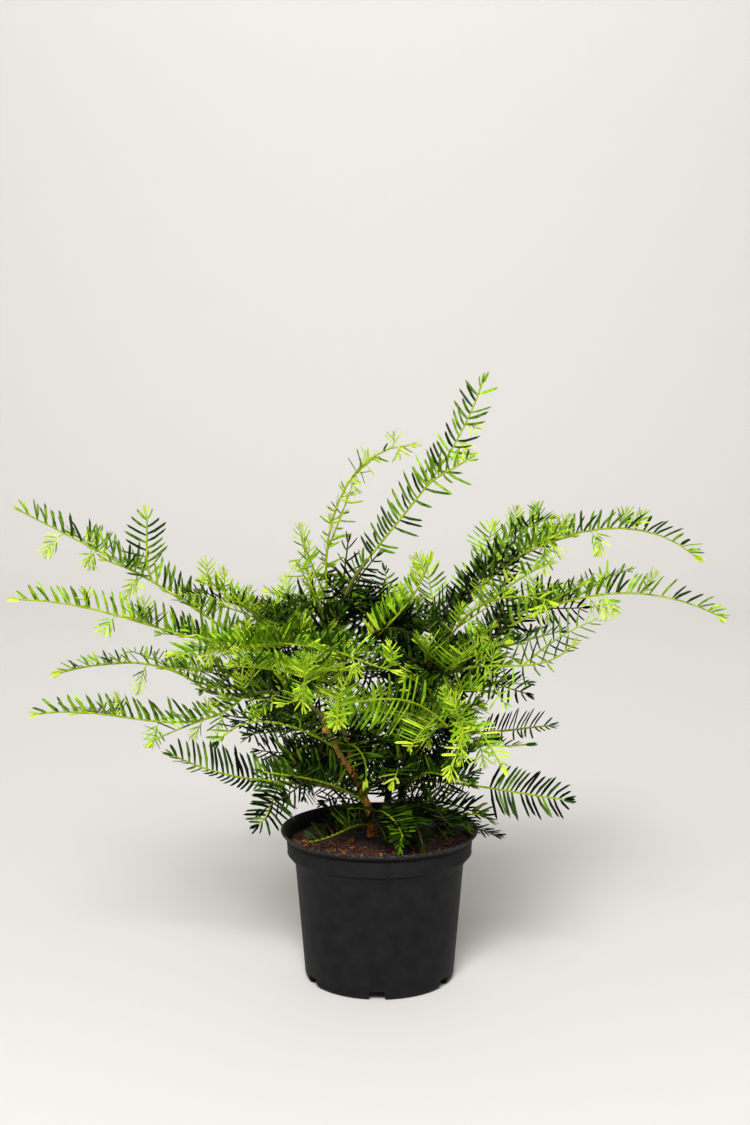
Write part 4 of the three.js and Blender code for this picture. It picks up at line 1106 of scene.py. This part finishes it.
def needle_piece(rows):
    """Many needles as one mesh: thin curved blades with a ridge above and a keel below."""
    share = np.array([row[0] for row in NEEDLE_OUTLINE for corner in range(4)] + [1.0])
    across = np.array([row[1] * corner for row in NEEDLE_OUTLINE for corner in (-1, 0, 1, 0)] + [0.0])
    above = np.array([row[1] * corner for row in NEEDLE_OUTLINE for corner in (0, 1, 0, -0.5)] + [0.0])
    root, aim, wide, face = (rows[:, start:start + 3][:, None, :] for start in (0, 3, 6, 9))
    length, width, bend, sag = (rows[:, start][:, None, None] for start in (12, 13, 14, 15))
    reach = share[None, :, None] * length
    curl = share[None, :, None] ** 2 * length
    points = root + aim * reach + wide * (curl * bend) + face * (curl * sag)
    points = points + wide * across[None, :, None] * width / 2
    points = points + face * above[None, :, None] * width * NEEDLE_RIDGE
    faces = [(3, 2, 1, 0)]
    for ring in range(len(NEEDLE_OUTLINE) - 1):
        for corner in range(4):
            beside = (corner + 1) % 4
            low, high = 4 * ring, 4 * ring + 4
            faces.append((low + corner, low + beside, high + beside, high + corner))
    last = 4 * (len(NEEDLE_OUTLINE) - 1)
    faces += [(last + corner, last + (corner + 1) % 4, last + 4) for corner in range(4)]
    count = share.size
    every = [[corner + count * blade for corner in side] for blade in range(len(rows)) for side in faces]
    piece = joined_mesh("needles", points.reshape(-1, 3), every)
    deselect()
    piece.select_set(True)
    bpy.context.view_layer.objects.active = piece
    bpy.ops.object.shade_smooth_by_angle(angle=math.radians(NEEDLE_CREASE))
    return piece


def twig_lines(line, row):
    """Side twigs on alternate sides of a shoot, shorter towards its tip, by the solids' seeded rule."""
    draw = dealer(row["seed"])
    for index in range(row["twigs"]):
        share = lerp(TWIG_SPAN, (index + lerp(TWIG_PLACE, next(draw))) / row["twigs"])
        hand = 1 if (index + row["seed"]) % 2 else -1
        angle = lerp(TWIG_ANGLE, next(draw))
        length = TWIG_LENGTH * lerp(TWIG_FALL, share) * lerp(TWIG_SPREAD, next(draw))
        climb = lerp(TWIG_CLIMB, next(draw))
        place, along, side, up = line.frames(share, row.get("roll", 0))
        out = unit(side * hand + up * climb)
        leave = between(along, out, angle)
        arrive = unit(between(along, out, angle * TWIG_CLOSING) - [0, 0, TWIG_DROOP])
        elbow = place + leave * length * TWIG_BEND
        yield Line(place, leave, elbow + arrive * length * (1 - TWIG_BEND), arrive)


def grow_masses(limbs, foliage):
    """Each mass: one long shoot from its bough's tip or its stem, perhaps a fork, and side twigs."""
    lines = {}
    for row in MASSES:
        name, parent = row["name"], limbs[row["on"]]
        deal = np.random.RandomState(row["seed"])
        habit = habit_of(row)
        tone = ROW_TONE[habit.get("tone", row["tone"])]
        foot = parent["line"].at(row.get("at", 1))
        leave = direction(*row["leave"]) if "leave" in row else parent["line"].along(1)
        main = Line(foot, leave, row["tip"], direction(*row["arrive"]))
        bare = BARE_FOOT + (parent["radii"][0] if "at" in row else 0) + habit["bare"] * main.length
        foliage.add_shoot(main, SHOOT, row, "young", tone, deal, bare=bare)
        lines[name] = main
        if "fork" in row:
            fork = row["fork"]
            leave, arrive = direction(*fork["leave"]), direction(*fork["arrive"])
            line = Line(main.at(fork["at"]), leave, fork["tip"], arrive)
            foliage.add_shoot(line, FORK, row, "young", tone, deal)
        for twig in list(twig_lines(main, row))[:habit["keep"]]:
            if not strikes_pot(twig):
                foliage.add_shoot(twig, TWIG, row, "young", tone, deal)
    return lines


def grow_bough_needles(limbs, foliage):
    """Needles along the boughs that still carry them."""
    for seed, (name, (start, lift, tone)) in enumerate(LEAFY.items(), LEAFY_SEED):
        deal = np.random.RandomState(seed)
        line = limbs[name]["line"]
        foliage.add_ranks(line, LEAFY_BOUGH, dict(lift=lift), ROW_TONE[tone], deal, start * line.length)


def strikes_pot(line):
    """Whether a twig would go through the pot's wall or into the soil."""
    x, y, z = line.at(np.linspace(0.1, 1, 16)).T
    return bool(np.any(in_pot_wall(x, y, z)))


def in_pot_wall(x, y, z):
    """Which places lie in or right beside the upper wall of the pot, or in the soil."""
    spread = np.hypot(x, y)
    wall = (spread > SOIL_RADIUS - POT_ROOM) & (spread < LIP_RADIUS + POT_ROOM)
    return wall & (z < POT_HEIGHT + POT_ROOM / 2) | (z < SOIL_TOP + 1) & (spread < LIP_RADIUS)


def grow_inner(lines, foliage):
    """The inner sprays, each with side twigs by the solids' rule, a tone darker."""
    for seed, row in enumerate(INNER, INNER_SEED):
        deal = np.random.RandomState(seed)
        host = lines[row["on"]]
        foot = host.at(row["at"])
        chord = unit(np.array(row["tip"]) - foot)
        leave = unit(chord + INNER_OUT * host.along(row["at"]))
        arrive = unit(chord - [0, 0, INNER_DROOP])
        if "leave" in row:
            leave, arrive = direction(*row["leave"]), direction(*row["arrive"])
        shoot = Line(foot, leave, row["tip"], arrive)
        tone = ROW_TONE[row["tone"]]
        skin = "young" if tone > 1 else "woody"
        foliage.add_shoot(shoot, INNER_SHOOT, row, skin, tone, deal)
        for twig in twig_lines(shoot, dict(row, seed=seed)):
            if not strikes_pot(twig) and not hides_stem(twig, lines["stem_front"]):
                foliage.add_shoot(twig, TWIG, row, skin, max(tone - 1, 0), deal)


def grow_sprigs(lines, foliage):
    """Fresh sprigs that hang from their line or stand up on it, leaning outwards and to the front."""
    deal = np.random.RandomState(SPRIG_SEED)
    for name, places in SPRIGS.items():
        front = 1 if "_back" in name else -1
        reach = UPRIGHT_SPRIG_LENGTH if "leader" in name or "thin" in name else SPRIG_LENGTH
        for rise, shares in zip((-1, 1), places):
            for share in shares:
                out = lines[name].along(share) * deal.uniform(*SPRIG_FORWARD)
                aim = unit(out + [deal.normal(0, SPRIG_LEAN), SPRIG_FRONT * front, rise])
                foliage.add_sprig(lines[name], share, aim, deal.uniform(*reach), deal)


def hides_stem(line, stem):
    """Whether a twig would stand in front of the bark of the front stem."""
    points, bark = line.at(np.linspace(0, 1, 12)), stem.at(np.linspace(0.15, 1, 40))
    beside = np.interp(points[:, 2], bark[:, 2], bark[:, 0]) - points[:, 0]
    before = np.interp(points[:, 2], bark[:, 2], bark[:, 1]) - points[:, 1]
    return bool(np.any((np.abs(beside) < STEM_VIEW) & (before > 0) & (points[:, 2] < bark[-1, 2])))


def grow_infill(limbs, lines, foliage):
    """Inner twigs from the nearest limb out to places dealt in the crown, darker towards its middle."""
    deal = np.random.RandomState(INFILL_SEED)
    hosts = [(limb["line"], share) for limb in limbs.values() for share in HOST_SHARES]
    hosts += [(line, share) for name, line in lines.items() if "foliage" in name
              for share in HOST_SHARES[:MASS_HOSTS]]
    spots = np.array([line.at(share) for line, share in hosts])
    heights, middles, radii = zip(*CROWN)
    for twig_number in range(INFILL_COUNT):
        height = lerp((heights[0], heights[-1]), deal.uniform() ** INFILL_LOW)
        part, turn = math.sqrt(deal.uniform(CROWN_CORE, 1)), deal.uniform(0, 2 * math.pi)
        middle = np.array([np.interp(height, heights, middles), CROWN_BACK, height])
        reach = np.interp(height, heights, radii) * part
        depth = reach * math.sin(turn)
        goal = middle + [reach * math.cos(turn), depth if depth > 0 else depth * CROWN_FRONT, 0]
        spread = np.linalg.norm((spots - middle)[:, :2], axis=1)
        gap = np.linalg.norm(spots - goal, axis=1)
        gap += WRONG_WAY * (np.maximum(spots[:, 2] - height, 0) + np.maximum(spread - reach, 0))
        line, share = hosts[int(np.argmin(gap))]
        chord = goal - line.at(share)
        length = np.linalg.norm(chord)
        if length < INFILL_LENGTH[0]:
            continue
        tip = line.at(share) + chord / length * min(length, INFILL_LENGTH[1])
        leave = unit(unit(chord) + INFILL_OUT * line.along(share))
        arrive = unit(unit(chord) + [0, 0, deal.uniform(*INFILL_CLIMB)])
        twig = Line(line.at(share), leave, tip, arrive)
        if strikes_pot(twig) or hides_stem(twig, lines["stem_front"]):
            continue
        row = dict(lift=deal.uniform(*INFILL_LIFT), fan=INFILL_FAN, roll=deal.uniform(*INFILL_ROLL))
        dark = [part < inside or height < under for inside, under in INFILL_SHADE]
        tone = dark.index(True) if any(dark) else len(dark)
        foliage.add_shoot(twig, INFILL_TWIG, row, "woody", tone, deal)


def add_stage():
    """A pale floor that curves up into a backdrop, soft studio lights and a pale surround."""
    deselect()
    bpy.ops.mesh.primitive_grid_add(
        x_subdivisions=2, y_subdivisions=FLOOR_STRIPS, size=FLOOR_SIZE, location=(0, FLOOR_SHIFT, 0))
    floor = bpy.context.object
    bpy.ops.object.transform_apply(location=True)
    for vertex in floor.data.vertices:
        over = max(vertex.co.y - CURVE_START, 0)
        angle = min(over / CURVE_RADIUS, math.pi / 2)
        rest = max(over - CURVE_RADIUS * math.pi / 2, 0)
        if over:
            vertex.co.y = CURVE_START + CURVE_RADIUS * math.sin(angle)
            vertex.co.z = CURVE_RADIUS * (1 - math.cos(angle)) + rest
    floor.data.shade_smooth()
    floor.name = "studio_floor"
    paper = dict(Roughness=1.0, Specular_IOR_Level=0.0, Base_Color=colour("#e5e2de"))
    floor.data.materials.append(start_material("studio_paper", **paper)[0])
    world = bpy.data.worlds.new("surround")
    bpy.context.scene.world = world
    world.use_nodes = True
    surround = world.node_tree.nodes["Background"]
    surround.inputs["Color"].default_value = colour("#f6f5f4")
    surround.inputs["Strength"].default_value = SURROUND_STRENGTH
    for name, place, turn, size, power in LIGHTS:
        bpy.ops.object.light_add(type="AREA", location=place, rotation=[math.radians(a) for a in turn])
        light = bpy.context.object
        light.name = name
        light.data.size = size
        light.data.energy = power


def add_camera():
    """The photograph's view."""
    bpy.ops.object.camera_add(location=CAMERA_PLACE, rotation=(math.radians(90 - CAMERA_PITCH), 0, 0))
    camera = bpy.context.object
    camera.data.lens = CAMERA_LENS
    bpy.context.scene.camera = camera
    bpy.context.scene.view_settings.view_transform = "Standard"


add_camera()
add_stage()
add_pot()
add_soil()
for name, count, seed, lengths, finish, dark, light, strewn in CHIPS:
    add_chips(name, count, seed, lengths, chip_wood(finish, dark, light), **strewn)
limbs = grow_limbs()
add_limbs(limbs)
foliage = Foliage()
lines = grow_masses(limbs, foliage)
grow_bough_needles(limbs, foliage)
lines.update({name: limb["line"] for name, limb in limbs.items()})
grow_sprigs(lines, foliage)
grow_inner(lines, foliage)
grow_infill(limbs, lines, foliage)
foliage.build([row["name"] for row in MASSES])
